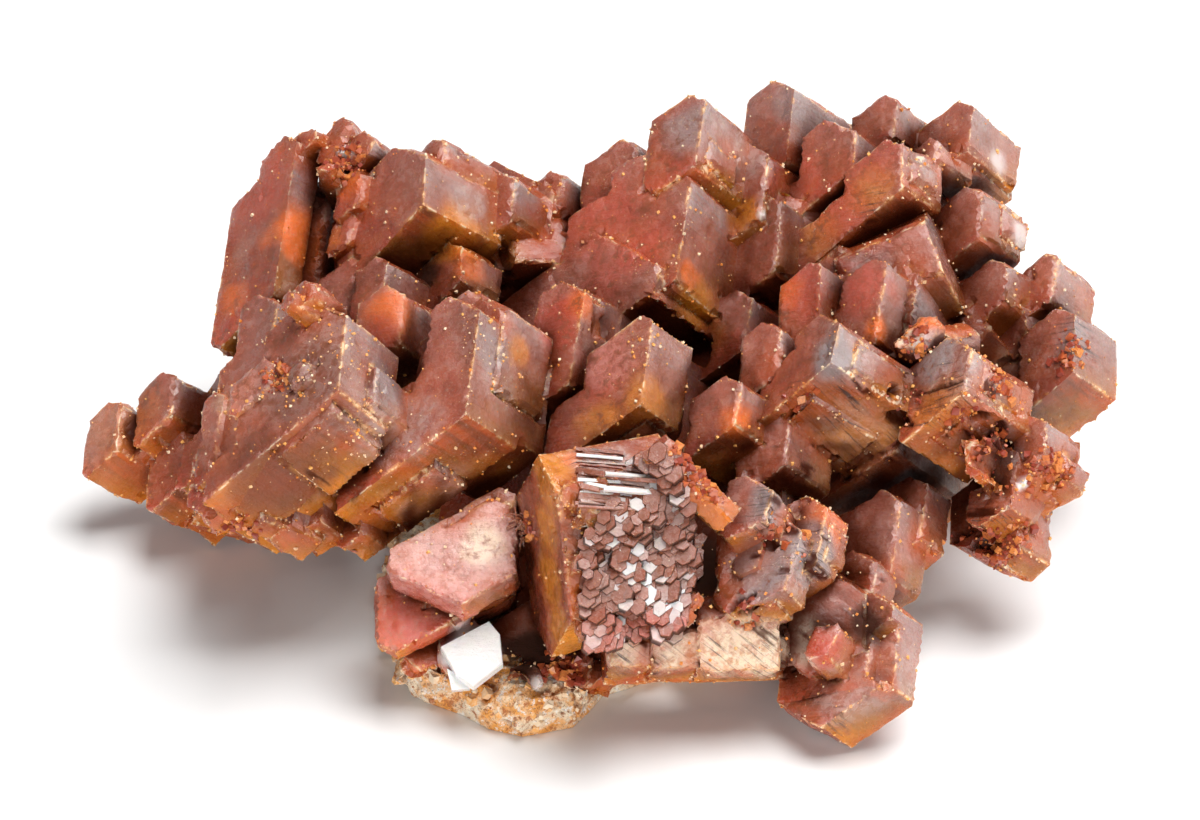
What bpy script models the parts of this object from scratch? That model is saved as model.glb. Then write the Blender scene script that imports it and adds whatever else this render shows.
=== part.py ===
"""Vanadinite: a cluster of blocky six-sided crystals grown together, on a remnant of its matrix.

The crystals are laid out as they are seen from the front, by an eye that looks down at VIEW_TILT:
x to the right, y up across the line of sight and depth towards the eye, in millimetres.
Each crystal is a six-sided prism with unequal sides and all its corners at 120 degrees. It is
placed by the corner of its flat end that is nearest to the eye. The model itself is in metres,
+Z up, and stands on Z = 0.
"""
import math
import random
from collections import namedtuple

import bmesh
import bpy
from mathutils import Matrix, Vector, noise

MM = 0.001
VIEW_TILT = math.radians(35)    # how steeply the layout's line of sight looks down
VIEW_DISTANCE = 240.0           # from the eye to depth 0
REST_HEIGHT = 9.5               # depth 0 at the middle of the layout, above the resting plane
NODE_GAP = 0.34                 # clear space between the crystals and the matrix

# How most of the crystals lean: where the flat end points in the layout, in degrees from
# its right, how far that end turns towards the eye, and the turn about the crystal's own axis.
MAIN_LEAN = (145, 47, 5)
LEAN_WOBBLE = 0.4               # degrees, so that no two crystals share a plane

WELD = 0.0004                   # corners of the union closer than this are one
GROUND_REACH = 40.0             # of the block below the resting plane that is cut away
ROOM_FOR_MATRIX = 1.4 * NODE_GAP    # along its corners' normals, which keeps the gap on its faces

MATRIX_THICKNESS = 1.7
MATRIX_MIDDLE = (0, -1.5)
MATRIX_LUMP = 0.5               # how far the lumps of the matrix rise and sink
MATRIX_LUMPS_PER_MM = 0.55
MATRIX_BULGE = 0.35             # of the rim, half way up
MATRIX_OUTLINE = [              # in plan, world x and y from the layout's middle
    (-8.0, -4.0), (-7.4, -6.2), (-5.4, -7.8), (-2.9, -9.0), (-0.9, -8.3), (0.3, -6.6),
    (2.4, -5.2), (6.0, -4.2), (8.6, -1.8), (9.4, 2.0), (8.0, 5.8), (4.5, 8.2), (-0.5, 8.8),
    (-4.8, 7.6), (-7.8, 4.6), (-8.4, 0.6),
]

# sides: leftward, upward, then the two that run away from the eye, after up and after left.
# stairs: how the far corner is stepped, as (leftward, downward) pairs from the top.
# ledges: blocks of the same growth, as (up, left, away, below the flat end), sides and length.
Crystal = namedtuple("Crystal", "name corner lean sides length stairs ledges")


def crystal(name, corner, sides, length, lean=MAIN_LEAN, stairs=(), ledges=()):
    return Crystal(name, corner, lean, sides, length, stairs, ledges)


FRONT_LEFT = [
    crystal("front_left", (-10.28, 0.8, 6.5), (7.2, 3.5, 2.5, 0), 3.7, (140, 45, 15),
            stairs=[(2.1, 3.1), (1.2, 1.3), (1.4, 1.6)],
            ledges=[((-0.45, 0.5, 0, 0.35), (2.9, 1.6, 1.0, 0.3), 3.6),
                    ((0.25, -0.35, 0, 1.9), (1.4, 1.6, 0.8, 0.2), 2.4),
                    ((-0.3, 1.4, 0.6, 2.6), (4.6, 2.4, 1.5, 0.3), 3.0),
                    ((1.2, 2.0, 1.6, -0.22), (2.2, 1.1, 0.8, 0.4), 1.0),
                    ((0.5, 0.5, 0.9, -0.3), (0.9, 0.8, 0.7, 0.6), 1.0)]),
    crystal("front_left_knob", (-11.3, 4.5, 4.6), (1.1, 0.7, 0.7, 0.5), 2.4),
    crystal("front_left_knob_2", (-12.2, 4.3, 4.9), (0.7, 0.6, 0.5, 0.4), 2.0, (150, 35, 0)),
    crystal("front_left_foot", (-14.4, -4.0, 4.4), (1.5, 1.3, 0.9, 0.5), 1.7, (120, 50, 10)),
    crystal("front_left_foot_2", (-13.4, -4.4, 3.8), (1.1, 1.2, 0.8, 0.6), 1.8, (160, 40, -8)),
    crystal("front_left_foot_3", (-12.2, -4.6, 3.0), (1.4, 1.5, 0.8, 0.5), 1.9, (150, 35, 0)),
    crystal("front_left_foot_4", (-11.0, -4.4, 2.6), (1.4, 1.5, 0.9, 0.5), 2.0, (135, 45, 8)),
    crystal("front_left_foot_5", (-9.4, -4.9, 2.2), (1.2, 1.4, 0.9, 0.5), 1.7, (150, 40, 4)),
]
FRONT_MIDDLE = [
    crystal("front_middle", (-5.2, -0.2, 5.0), (7.0, 4.6, 1.9, 0), 3.7, (146, 48, 4),
            stairs=[(1.2, 2.8), (1.5, 1.5), (2.4, 2.2)],
            ledges=[((0.15, -0.15, 0.15, 0.5), (3.4, 3.9, 1.6, 0.4), 4.8),
                    ((0.5, -0.3, 0.3, 0.9), (1.2, 3.0, 1.2, 0.5), 3.3),
                    ((-0.3, 2.4, 0, 1.2), (3.2, 1.0, 0.8, 0.3), 2.3)]),
    crystal("front_middle_twin", (-4.0, 0.8, 3.2), (3.0, 3.6, 2.4, 0.2), 3.4, (146, 48, 4)),
    crystal("glowing_small", (-7.8, 2.6, 1.2), (2.0, 2.2, 1.0, 0.5), 4.6, (145, 60, 5)),
    crystal("red_upright", (-1.1, 1.0, 0.6), (2.6, 4.2, 1.6, 0.2), 2.0, (146, 46, 2)),
    crystal("red_upright_back", (-0.7, 1.6, -0.6), (2.4, 3.8, 1.6, 0.4), 2.4, (150, 44, 6)),
    crystal("pink_front", (1.8, 0.2, 3.0), (5.0, 3.8, 0.6, 0.2), 3.0, (145, 47, 5),
            stairs=[(3.0, 1.4), (1.6, 2.8)],
            ledges=[((-0.3, 0.2, 0.2, 1.0), (1.4, 2.2, 0.8, 0.3), 2.6)]),
]
MIDDLE_LEFT = [
    crystal("middle_left", (-6.92, 8.2, -3.4), (5.1, 2.4, 2.2, 1.2), 4.7, (153, 40, 5),
            stairs=[(1.7, 1.0), (2.4, 2.4)],
            ledges=[((-0.3, 0.2, 0.3, 1.4), (2.0, 1.0, 0.8, 0.4), 3.6)]),
    crystal("middle_left_back", (-6.1, 8.9, -4.7), (2.0, 2.2, 1.0, 0.5), 6.0, (153, 40, 5)),
    crystal("middle_left_back_2", (-3.4, 7.6, -6.0), (2.4, 2.0, 1.2, 0.6), 3.6, (150, 44, 3)),
    crystal("middle_left_under", (-5.4, 5.2, -3.8), (3.0, 1.6, 1.2, 0.8), 2.6, (152, 42, 6)),
    crystal("middle_left_low", (-8.6, 4.4, -2.6), (1.6, 1.8, 1.0, 0.6), 2.6, (150, 42, 0)),
    crystal("top_small_a", (-10.2, 10.3, -7.0), (1.1, 1.6, 0.9, 0.4), 2.6, (130, 40, 10)),
    crystal("top_small_b", (-9.1, 10.2, -6.4), (1.3, 0.9, 0.9, 0.5), 2.4, (140, 45, 0)),
    crystal("top_small_c", (-10.6, 9.6, -6.2), (0.8, 0.6, 0.6, 0.4), 2.2, (110, 40, 0)),
    crystal("top_small_d", (-9.5, 8.3, -5.6), (1.4, 1.5, 0.8, 0.5), 2.6, (150, 40, 0)),
    crystal("top_small_e", (-11.2, 10.9, -7.4), (1.4, 0.6, 0.6, 0.5), 2.6, (150, 42, 8)),
    crystal("top_small_f", (-9.9, 6.6, -5.4), (1.2, 1.3, 0.7, 0.5), 2.6, (142, 44, 0)),
    crystal("left_column", (-12.9, 4.6, -4.5), (3.5, 7.3, 1.1, 0.6), 1.5, (150, 38, 5),
            stairs=[(1.0, 1.0), (1.0, 6.8)],
            ledges=[((0.6, 0.2, 0.3, 1.0), (2.4, 5.6, 1.0, 0.5), 3.0)]),
    crystal("left_slab", (-13.7, -2.4, 0.5), (3.0, 7.6, 1.5, 1.2), 4.4, (150, 42, 3),
            stairs=[(1.2, 1.9), (1.0, 2.8), (1.0, 2.1)],
            ledges=[((0.5, 1.6, 0.8, -0.25), (1.0, 3.6, 0.8, 0.4), 1.2)]),
]
LEFT_TAIL = [
    crystal("tail_upper", (-17.0, -0.2, -5.4), (2.2, 1.9, 0.9, 0.4), 3.2, (150, 42, 5)),
    crystal("tail_tip", (-19.2, -1.6, -6.0), (2.0, 2.2, 0.8, 0.3), 3.4, (150, 42, 5)),
    crystal("tail_root", (-16.4, -2.8, -4.9), (2.2, 2.1, 1.2, 0.5), 4.0, (150, 42, 6)),
    crystal("tail_brown", (-15.4, -2.1, -4.0), (2.0, 1.7, 0.8, 0.4), 3.0, (150, 42, 4)),
    crystal("tail_link", (-17.4, -1.2, -6.2), (2.6, 1.6, 1.2, 0.8), 4.0, (140, 40, 5)),
]
BACK_MIDDLE = [
    crystal("notch_crystal", (1.5, 8.9, -7.4), (2.6, 2.0, 1.0, 0.5), 3.4, (143, 49, 6)),
    crystal("notch_filler", (-1.5, 7.9, -8.0), (2.4, 1.9, 0.9, 0.4), 3.4, (148, 42, 6)),
    crystal("big_maroon", (3.2, 5.08, -3.0), (1.7, 4.8, 3.2, 5.2), 4.6, (143, 49, 6),
            stairs=[(1.6, 0.8), (2.1, 2.0)]),
    crystal("peak", (4.0, 9.8, -4.8), (2.2, 3.1, 0.8, 0.8), 4.3, (143, 49, 6),
            ledges=[((0.2, -0.25, 0.1, 0.6), (0.9, 1.2, 0.6, 0.3), 2.4)]),
    crystal("back_top", (7.6, 10.0, -9.0), (2.6, 3.3, 1.7, 0.5), 3.8, (152, 40, 0)),
    crystal("back_top_low", (10.3, 9.6, -7.0), (4.4, 1.9, 2.0, 0.4), 2.8, (148, 46, 5),
            stairs=[(1.4, 1.9), (1.4, 1.6)]),
    crystal("back_long", (12.3, 8.9, -5.0), (5.8, 2.1, 0.9, 0.6), 3.2, (152, 50, 2),
            stairs=[(2.6, 0.9), (2.9, 1.5)],
            ledges=[((0.3, -0.25, 0.2, 0.8), (0.8, 1.2, 0.6, 0.3), 2.0)]),
]
BACK_RIGHT = [
    crystal("right_tip_a", (11.9, 10.9, -9.0), (2.4, 1.9, 0.9, 0.4), 3.4, (145, 45, 5)),
    crystal("right_tip_b", (14.9, 10.4, -8.5), (2.6, 2.1, 1.0, 0.5), 3.9, (145, 45, 5),
            ledges=[((-0.3, 0.2, 0.2, 1.2), (1.3, 1.2, 0.6, 0.3), 3.0)]),
    crystal("right_tip_c", (13.6, 10.0, -7.6), (1.4, 1.0, 0.7, 0.4), 2.6, (150, 40, 0)),
    crystal("right_shelf", (15.4, 7.0, -6.0), (3.0, 2.1, 1.0, 0.5), 3.0, (150, 44, 4),
            ledges=[((0.3, -0.3, 0.2, 1.4), (0.8, 1.3, 0.6, 0.3), 1.9)]),
    crystal("right_middle", (16.4, 4.4, -4.8), (3.6, 1.8, 1.0, 0.5), 3.2, (148, 44, 5)),
    crystal("right_end", (19.1, 1.5, -3.0), (3.0, 2.7, 1.2, 0.4), 3.2, (150, 45, 5),
            ledges=[((-0.2, 0.3, 0.2, 0.9), (1.2, 1.1, 0.6, 0.3), 2.5)]),
    crystal("right_end_top", (18.2, 4.3, -5.5), (1.6, 2.0, 0.8, 0.4), 3.2, (146, 46, 0)),
    crystal("pink_pair_a", (8.9, 3.0, -1.8), (2.0, 3.3, 0.6, 0.4), 2.6, (150, 46, 5)),
    crystal("pink_pair_b", (11.2, 2.7, -1.2), (2.2, 3.7, 0.8, 0.4), 2.9, (144, 46, 4)),
    crystal("yellow_patch", (13.0, 2.4, -0.6), (1.2, 1.4, 0.8, 0.5), 2.2, (110, 50, 0)),
    crystal("yellow_patch_2", (14.2, 2.9, -1.4), (1.0, 1.0, 0.6, 0.5), 2.2, (190, 50, 20)),
    crystal("pink_small", (7.3, 1.5, 0.2), (2.0, 2.1, 1.2, 0.3), 2.4, (146, 44, 8)),
    crystal("low_middle_a", (5.6, -0.6, 2.4), (2.6, 1.9, 1.0, 0.3), 3.3, (146, 47, 3)),
    crystal("low_middle_b", (7.6, -2.2, 2.0), (2.6, 2.0, 1.0, 0.3), 3.4, (146, 48, 5)),
]
FRONT_RIGHT = [
    crystal("striated_left", (9.4, 1.9, 2.5), (4.2, 1.8, 1.6, 0.3), 5.4, (148, 34, 1),
            stairs=[(1.2, 0.8), (1.7, 2.3)],
            ledges=[((-0.22, 1.6, 0, 0.7), (1.7, 0.8, 0.6, 0.3), 3.8),
                    ((-0.4, 2.2, 0.2, 1.9), (1.6, 0.8, 0.6, 0.3), 3.0),
                    ((0.1, -0.25, 0.1, 1.1), (0.7, 1.3, 0.6, 0.3), 3.0)]),
    crystal("striated_right", (14.8, 0.8, 2.0), (3.6, 1.9, 1.8, 0.3), 4.0, (148, 36, 2),
            ledges=[((-0.3, 0.9, 0, 0.8), (1.5, 0.7, 0.6, 0.3), 2.8),
                    ((0.2, -0.3, 0.2, 0.8), (0.7, 1.3, 0.6, 0.3), 2.4)]),
    crystal("grey_cube", (16.1, -2.3, 2.6), (1.3, 1.2, 0.8, 0.5), 3.6, (140, 62, 0)),
    crystal("right_low", (18.0, -2.2, 1.0), (3.0, 2.0, 1.2, 0.4), 2.6, (150, 44, 5)),
    crystal("right_low_tip", (19.0, -2.9, 0.4), (1.2, 1.0, 0.8, 0.4), 1.4, (140, 50, 0)),
    crystal("right_foot", (17.0, -5.5, 0.5), (1.2, 2.8, 2.6, 3.2), 2.2, (150, 42, 5),
            ledges=[((-0.2, 0.3, 0.6, 0.5), (0.8, 1.1, 0.8, 1.2), 1.5)]),
    crystal("right_foot_top", (16.6, -3.9, 1.2), (1.8, 1.2, 1.0, 0.8), 2.4, (144, 44, 0)),
    crystal("smooth_pink", (13.0, -5.2, 0.4), (2.6, 2.6, 1.2, 0.5), 1.9, (146, 44, 5)),
    crystal("red_brown_low", (11.8, -6.7, 2.0), (3.8, 3.5, 1.2, 0.5), 2.3, (146, 46, 2)),
    crystal("bottom_right", (11.6, -10.9, 5.6), (3.3, 3.4, 3.0, 2.6), 2.4, (145, 47, 5),
            ledges=[((-0.2, 0.5, 0.4, 0.6), (1.9, 1.1, 0.9, 0.8), 2.0)]),
    crystal("bottom_right_top", (11.0, -7.9, 3.6), (2.6, 2.0, 1.6, 1.0), 1.6, (142, 47, 5)),
    crystal("dark_triangle", (9.3, -9.8, 5.9), (0.9, 1.4, 0.4, 0.5), 2.0, (130, 50, 0)),
]
FRONT_CLUSTER = [
    crystal("stepped_block", (-1.6, -3.2, 8.4), (5.2, 2.3, 4.4, 4.4), 5.0, (-170, 16, 20),
            ledges=[((0.3, 3.6, -0.2, 0.7), (1.7, 1.0, 1.4, 1.2), 3.4),
                    ((-0.2, -0.2, 0.9, 0.5), (1.2, 0.9, 0.8, 0.8), 1.8)]),
    crystal("front_tablet", (7.6, -7.2, 6.6), (2.6, 2.6, 3.6, 1.2), 1.9, (135, 50, 5),
            ledges=[((-0.3, 0.4, 0.2, 0.5), (1.2, 1.2, 0.8, 0.4), 1.6),
                    ((0.4, 0.4, 1.2, -0.25), (0.9, 1.2, 1.0, 0.5), 1.0)]),
    crystal("front_tablet_top", (6.8, -4.4, 6.4), (1.9, 1.3, 1.7, 0.6), 2.6, (135, 50, 8)),
    crystal("thin_slab", (2.5, -1.5, 8.5), (1.0, 0.8, 0.5, 0.4), 4.3, (135, 12, 0)),
    crystal("front_tablet_right", (8.8, -6.2, 5.6), (3.4, 2.6, 1.4, 0.6), 1.8, (140, 47, 5),
            ledges=[((0.3, -0.25, 0.2, 0.5), (1.0, 1.6, 0.8, 0.4), 1.5)]),
    crystal("under_bar", (0.5, -9.2, 5.4), (1.2, 1.3, 2.8, 2.2), 7.2, (-178, 8, 20),
            ledges=[((-0.2, -0.4, -0.2, 1.6), (1.7, 1.4, 2.0, 1.6), 5.2),
                    ((-0.3, -0.9, -0.3, 3.4), (2.3, 1.4, 2.0, 1.4), 3.4)]),
    crystal("pink_crust_block", (-5.4, -7.84, 4.6), (3.4, 2.6, 3.6, 0.9), 1.6, (100, 62, -8)),
    crystal("red_plate", (-8.0, -9.8, 3.4), (1.0, 5.5, 1.5, 3.0), 0.9, (100, 62, -8)),
    crystal("mirror_facet", (-5.1, -10.9, 3.0), (1.2, 1.4, 1.6, 1.8), 4.0, (110, 66, -10)),
    crystal("mirror_facet_small", (-7.0, -10.5, 2.2), (1.0, 1.0, 1.0, 0.8), 3.6, (80, 64, 0)),
    crystal("mirror_facet_right", (-2.2, -11.0, 3.2), (0.9, 0.9, 0.9, 0.7), 6.0, (150, 62, 10)),
    crystal("cavity_floor", (-0.4, -11.2, 2.9), (4.4, 1.4, 2.2, 1.0), 1.6, (100, 62, -8)),
    crystal("crust_end", (-0.3, -11.0, 3.0), (0.8, 1.2, 0.8, 0.6), 2.2, (140, 62, 0)),
    crystal("tablet_root", (7.6, -6.6, 5.4), (2.2, 2.2, 1.6, 1.0), 6.0, (145, 80, 5)),
    crystal("pink_crust_root", (-5.0, -7.2, 3.6), (2.4, 2.0, 2.4, 0.8), 6.0, (100, 75, -8)),
    crystal("red_plate_root", (-5.6, -8.7, 2.8), (1.4, 2.6, 1.4, 1.2), 5.0, (100, 75, -8)),
    crystal("bottom_right_root", (10.8, -9.6, 4.4), (2.4, 2.4, 1.8, 1.2), 6.0, (145, 76, 5)),
]
CORE = [
    crystal("core_middle", (1.5, -2.2, 0.2), (8.0, 9.0, 4.0, 3.0), 6.5),
    crystal("core_left", (-9.0, -0.6, -1.0), (5.0, 6.5, 3.0, 2.5), 4.5),
    crystal("core_right", (12.0, -1.6, -0.8), (9.0, 8.0, 3.5, 3.0), 6.0),
    crystal("core_low", (7.0, -7.0, 2.4), (4.4, 4.5, 3.0, 2.5), 3.2),
    crystal("core_cavity", (-1.6, -8.6, 0.5), (3.2, 6.0, 3.0, 2.0), 4.0),
    crystal("core_top_left", (-2.0, 6.0, -7.0), (8.0, 3.2, 4.0, 3.0), 5.0),
    crystal("core_top_right", (13.0, 7.5, -8.5), (12.0, 2.6, 3.0, 3.0), 4.5),
    crystal("core_gap", (6.6, 7.6, -6.6), (1.8, 3.2, 1.6, 0.6), 3.0),
    crystal("gap_a", (7.2, 5.6, -5.6), (2.6, 3.2, 1.2, 0.6), 3.0, (150, 45, 3)),
    crystal("gap_b", (10.2, 4.6, -4.8), (3.0, 2.0, 1.2, 0.6), 3.4, (146, 48, 6)),
    crystal("gap_c", (12.8, 4.4, -5.2), (2.6, 2.2, 1.0, 0.6), 3.4, (144, 46, 4)),
    crystal("gap_d", (5.9, 2.4, -3.8), (2.6, 2.4, 1.2, 0.6), 3.0, (148, 44, 0)),
    crystal("core_right_end", (17.4, 1.6, -4.6), (4.4, 3.0, 1.2, 1.0), 4.5, (158, 42, 5)),
    crystal("core_tail", (-14.4, -1.0, -4.6), (4.6, 3.0, 1.4, 1.0), 3.6, (165, 30, 5)),
    crystal("core_column", (-11.4, 4.0, -5.6), (3.0, 5.0, 2.4, 1.6), 4.0),
]
# The front of the stepped block is a mosaic of thin hexagonal plates, laid in rows like shingles.
PLATE_ROWS = 9
PLATES_IN_ROW = 5
PLATE_FIELD = (0.75, 4.9, 0.15, 5.9)    # from and to, along the crystal and then down its front
PLATE_SIDE = (0.42, 0.68)
PLATE_THICKNESS = 0.7
PLATE_PROUD = (0.06, 0.42)              # how far the plates stand out of the block
PLATE_TILT = 7                          # degrees
PLATE_SEED = 1

# Hollows between the crystals: hexagonal pits, cut straight down from the corner nearest the eye.
PITS = [
    crystal("pit_bottom_right", (11.2, -9.0, 8.0), (1.5, 1.7, 0.9, 0.9), 3.4),
    crystal("pit_right_low", (16.4, -1.3, 4.0), (1.5, 1.0, 1.4, 1.2), 3.4),
    crystal("pit_right_foot", (16.9, -5.6, 3.4), (0.8, 0.8, 1.4, 1.4), 2.6, (150, 60, 5)),
    crystal("pit_striated", (10.8, -0.6, 5.0), (1.0, 0.6, 0.5, 0.4), 2.6, (150, 80, 5)),
    crystal("pit_striated_2", (9.4, -0.9, 5.4), (0.9, 0.6, 0.6, 0.4), 2.6, (150, 80, 5)),
    crystal("pit_tablet", (7.7, -6.1, 9.2), (0.5, 0.7, 0.4, 0.3), 2.4, (150, 80, 5)),
    crystal("pit_tablet_2", (6.9, -4.8, 9.2), (0.5, 0.5, 0.4, 0.3), 2.4, (150, 80, 5)),
    crystal("pit_notch", (1.45, 4.1, -0.5), (1.7, 1.1, 0.9, 0.5), 6.6, (143, 49, 6)),
]

# The side turned away from the eye: rings of crystals round the back, from right to left.
# Each ring: height above the resting plane, reach as a share of BACK_REACH, angles in plan.
BACK_CENTRE = (1.0, 5.2)
BACK_REACH = (17.0, 10.0)
BACK_RINGS = [
    (1.9, 0.72, range(-8, 190, 22)),
    (4.8, 0.88, range(2, 184, 19)),
    (7.9, 0.93, range(14, 152, 17)),
    (10.4, 0.86, range(26, 140, 19)),
]
BACK_CRYSTAL_SIDE = (1.7, 2.7)
BACK_CRYSTAL_LENGTH = 4.2


def to_world(x, y, depth):
    """A point of the layout, as the eye sees it against depth 0, in world millimetres."""
    nearer = 1 - depth / VIEW_DISTANCE
    return to_world_direction(Vector((x * nearer, y * nearer, depth))) + Vector((0, 0, REST_HEIGHT))


def to_world_direction(direction):
    return Matrix.Rotation(math.pi / 2 - VIEW_TILT, 3, "X") @ direction


def growth_axes(lean):
    """The crystal's own directions: up, left, away and out of its flat end."""
    heading, rise, turn = (math.radians(angle) for angle in lean)
    out = Vector((math.cos(rise) * math.cos(heading), math.cos(rise) * math.sin(heading),
                  math.sin(rise)))
    over = Vector((-math.sin(rise) * math.cos(heading), -math.sin(rise) * math.sin(heading),
                   math.cos(rise)))
    across = Vector((math.sin(heading), -math.cos(heading), 0))

    def at(angle):
        return to_world_direction(math.cos(angle) * over + math.sin(angle) * across)

    third = math.radians(120)
    return at(turn + third), at(turn - third), -at(turn), to_world_direction(out)


def prism_outline(corner, axes, sides, stairs=()):
    """The corners of a flat end, walked round from the corner nearest the eye."""
    up, left, away, _ = axes
    side_left, side_up, away_after_up, away_after_left = sides
    far_left = side_left - away_after_up + away_after_left
    far_down = side_up + away_after_up - away_after_left
    steps = [(up, side_up), (away, away_after_up)]
    stair_left = sum(step[0] for step in stairs) or 1
    stair_down = sum(step[1] for step in stairs) or 1
    for go_left, go_down in stairs or [(1, 1)]:
        steps.append((left, far_left * go_left / stair_left))
        steps.append((-up, far_down * go_down / stair_down))
    steps.append((-away, away_after_left))
    points = [corner]
    for direction, distance in steps:
        if distance > 0:
            points.append(points[-1] + direction * distance)
    return points


def add_prism(name, outline, depth_vector, collection):
    """A closed prism between an outline and its copy moved by depth_vector, in millimetres."""
    mesh = bpy.data.meshes.new(name)
    shape = bmesh.new()
    cap = shape.faces.new([shape.verts.new(point * MM) for point in outline])
    body = bmesh.ops.extrude_face_region(shape, geom=[cap])
    moved = [item for item in body["geom"] if isinstance(item, bmesh.types.BMVert)]
    bmesh.ops.translate(shape, verts=moved, vec=depth_vector * MM)
    bmesh.ops.recalc_face_normals(shape, faces=shape.faces)
    shape.to_mesh(mesh)
    shape.free()
    prism = bpy.data.objects.new(name, mesh)
    collection.objects.link(prism)
    return prism


def grow(spec, collection, rng):
    """One crystal with its ledges, as prisms that overlap."""
    lean = [angle + rng.uniform(-LEAN_WOBBLE, LEAN_WOBBLE) for angle in spec.lean]
    axes = growth_axes(lean)
    up, left, away, out = axes
    corner = to_world(*spec.corner)
    add_prism(spec.name, prism_outline(corner, axes, spec.sides, spec.stairs),
              -out * spec.length, collection)
    for number, (offset, sides, length) in enumerate(spec.ledges):
        along_up, along_left, along_away, below = offset
        start = corner + up * along_up + left * along_left + away * along_away - out * below
        add_prism(f"{spec.name}_ledge_{number}", prism_outline(start, axes, sides),
                  -out * length, collection)


def mosaic_plates(spec, collection, rng):
    """Rows of thin plates over the side of a crystal that faces the eye."""
    up, left, away, out = growth_axes(spec.lean)
    corner = to_world(*spec.corner)
    facing = left.cross(out).normalized()
    if facing.dot(to_world_direction(Vector((0, 0, 1)))) < 0:
        facing = -facing
    from_end, to_end, from_top, to_bottom = PLATE_FIELD
    for row in range(PLATE_ROWS):
        for place in range(PLATES_IN_ROW):
            along = (place + 0.5 * (row % 2) + rng.uniform(-0.2, 0.2)) / (PLATES_IN_ROW - 0.5)
            down = (row + rng.uniform(-0.25, 0.25)) / (PLATE_ROWS - 1)
            side = rng.uniform(*PLATE_SIDE)
            tilt = [math.radians(rng.uniform(-PLATE_TILT, PLATE_TILT)) for _ in range(2)]
            normal = (facing + left * tilt[0] + out * tilt[1]).normalized()
            first = normal.cross(up).normalized()
            second = normal.cross(first)
            middle = (corner - out * (from_end + (to_end - from_end) * along)
                      + left * (from_top + (to_bottom - from_top) * down)
                      + normal * rng.uniform(*PLATE_PROUD))
            turn = math.radians(rng.uniform(-8, 8))
            outline = [middle + side * (math.cos(turn + corner_number * math.pi / 3) * first
                                        + math.sin(turn + corner_number * math.pi / 3) * second)
                       for corner_number in range(6)]
            add_prism(f"plate_{row}_{place}", outline, -normal * PLATE_THICKNESS, collection)


def back_growth(collection, rng):
    """Regular crystals that lean outwards and up, so the cluster is finished all round."""
    number = 0
    for height, share, angles in BACK_RINGS:
        for degrees in angles:
            angle = math.radians(degrees + rng.uniform(-5, 5))
            centre = Vector((BACK_CENTRE[0] + BACK_REACH[0] * share * math.cos(angle),
                             BACK_CENTRE[1] + BACK_REACH[1] * share * math.sin(angle),
                             height + rng.uniform(-0.5, 0.5)))
            out = Vector((math.cos(angle) + rng.uniform(-0.3, 0.3),
                          math.sin(angle) + rng.uniform(-0.3, 0.3),
                          0.05 * height + rng.uniform(-0.2, 0.3))).normalized()
            across = out.cross(Vector((0, 0, 1))).normalized()
            over = across.cross(out)
            side = rng.uniform(*BACK_CRYSTAL_SIDE)
            stretch = rng.uniform(0.65, 1.0)
            turn = rng.uniform(0, math.pi / 3)
            outline = [centre + side * (math.cos(turn + corner * math.pi / 3) * across * stretch
                                        + math.sin(turn + corner * math.pi / 3) * over)
                       for corner in range(6)]
            add_prism(f"back_{number}", outline, -out * BACK_CRYSTAL_LENGTH, collection)
            number += 1


def lumpy_matrix(collection):
    """The flat-bottomed slab of matrix, with a broken rim and a lumpy top."""
    outline = [Vector((x, y, 0)) for x, y in MATRIX_OUTLINE]
    matrix = add_prism("matrix_crust", outline, Vector((0, 0, MATRIX_THICKNESS)), collection)
    shape = bmesh.new()
    shape.from_mesh(matrix.data)
    bmesh.ops.triangulate(shape, faces=shape.faces)
    bmesh.ops.subdivide_edges(shape, edges=shape.edges, cuts=1)
    bmesh.ops.triangulate(shape, faces=shape.faces)
    middle = Vector((*MATRIX_MIDDLE, 0)) * MM
    for vert in shape.verts:
        lump = MATRIX_LUMP * noise.noise(vert.co / MM * MATRIX_LUMPS_PER_MM)
        level = vert.co.z / MM / MATRIX_THICKNESS
        if level > 0.9:
            vert.co.z += lump * MM
        outward = (vert.co - middle).normalized()
        bulge = MATRIX_BULGE if 0.1 < level < 0.9 else 0
        vert.co.x += outward.x * (lump + bulge) * MM
        vert.co.y += outward.y * (lump + bulge) * MM
    bmesh.ops.recalc_face_normals(shape, faces=shape.faces)
    shape.to_mesh(matrix.data)
    shape.free()
    return matrix


def make_room(matrix, collection):
    """The matrix grown by the gap, to cut its seat out of the crystals."""
    mesh = matrix.data.copy()
    mesh.name = "matrix_room"
    normals = [vert.normal.copy() for vert in mesh.vertices]
    for vert, normal in zip(mesh.vertices, normals):
        vert.co += normal * ROOM_FOR_MATRIX * MM
    room = bpy.data.objects.new("matrix_room", mesh)
    collection.objects.link(room)
    return room


def add_boolean(target, operand, operation):
    modifier = target.modifiers.new(operation.lower(), "BOOLEAN")
    modifier.operation = operation
    modifier.solver = "EXACT"
    if isinstance(operand, bpy.types.Collection):
        modifier.operand_type = "COLLECTION"
        modifier.collection = operand
    else:
        modifier.object = operand


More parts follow.
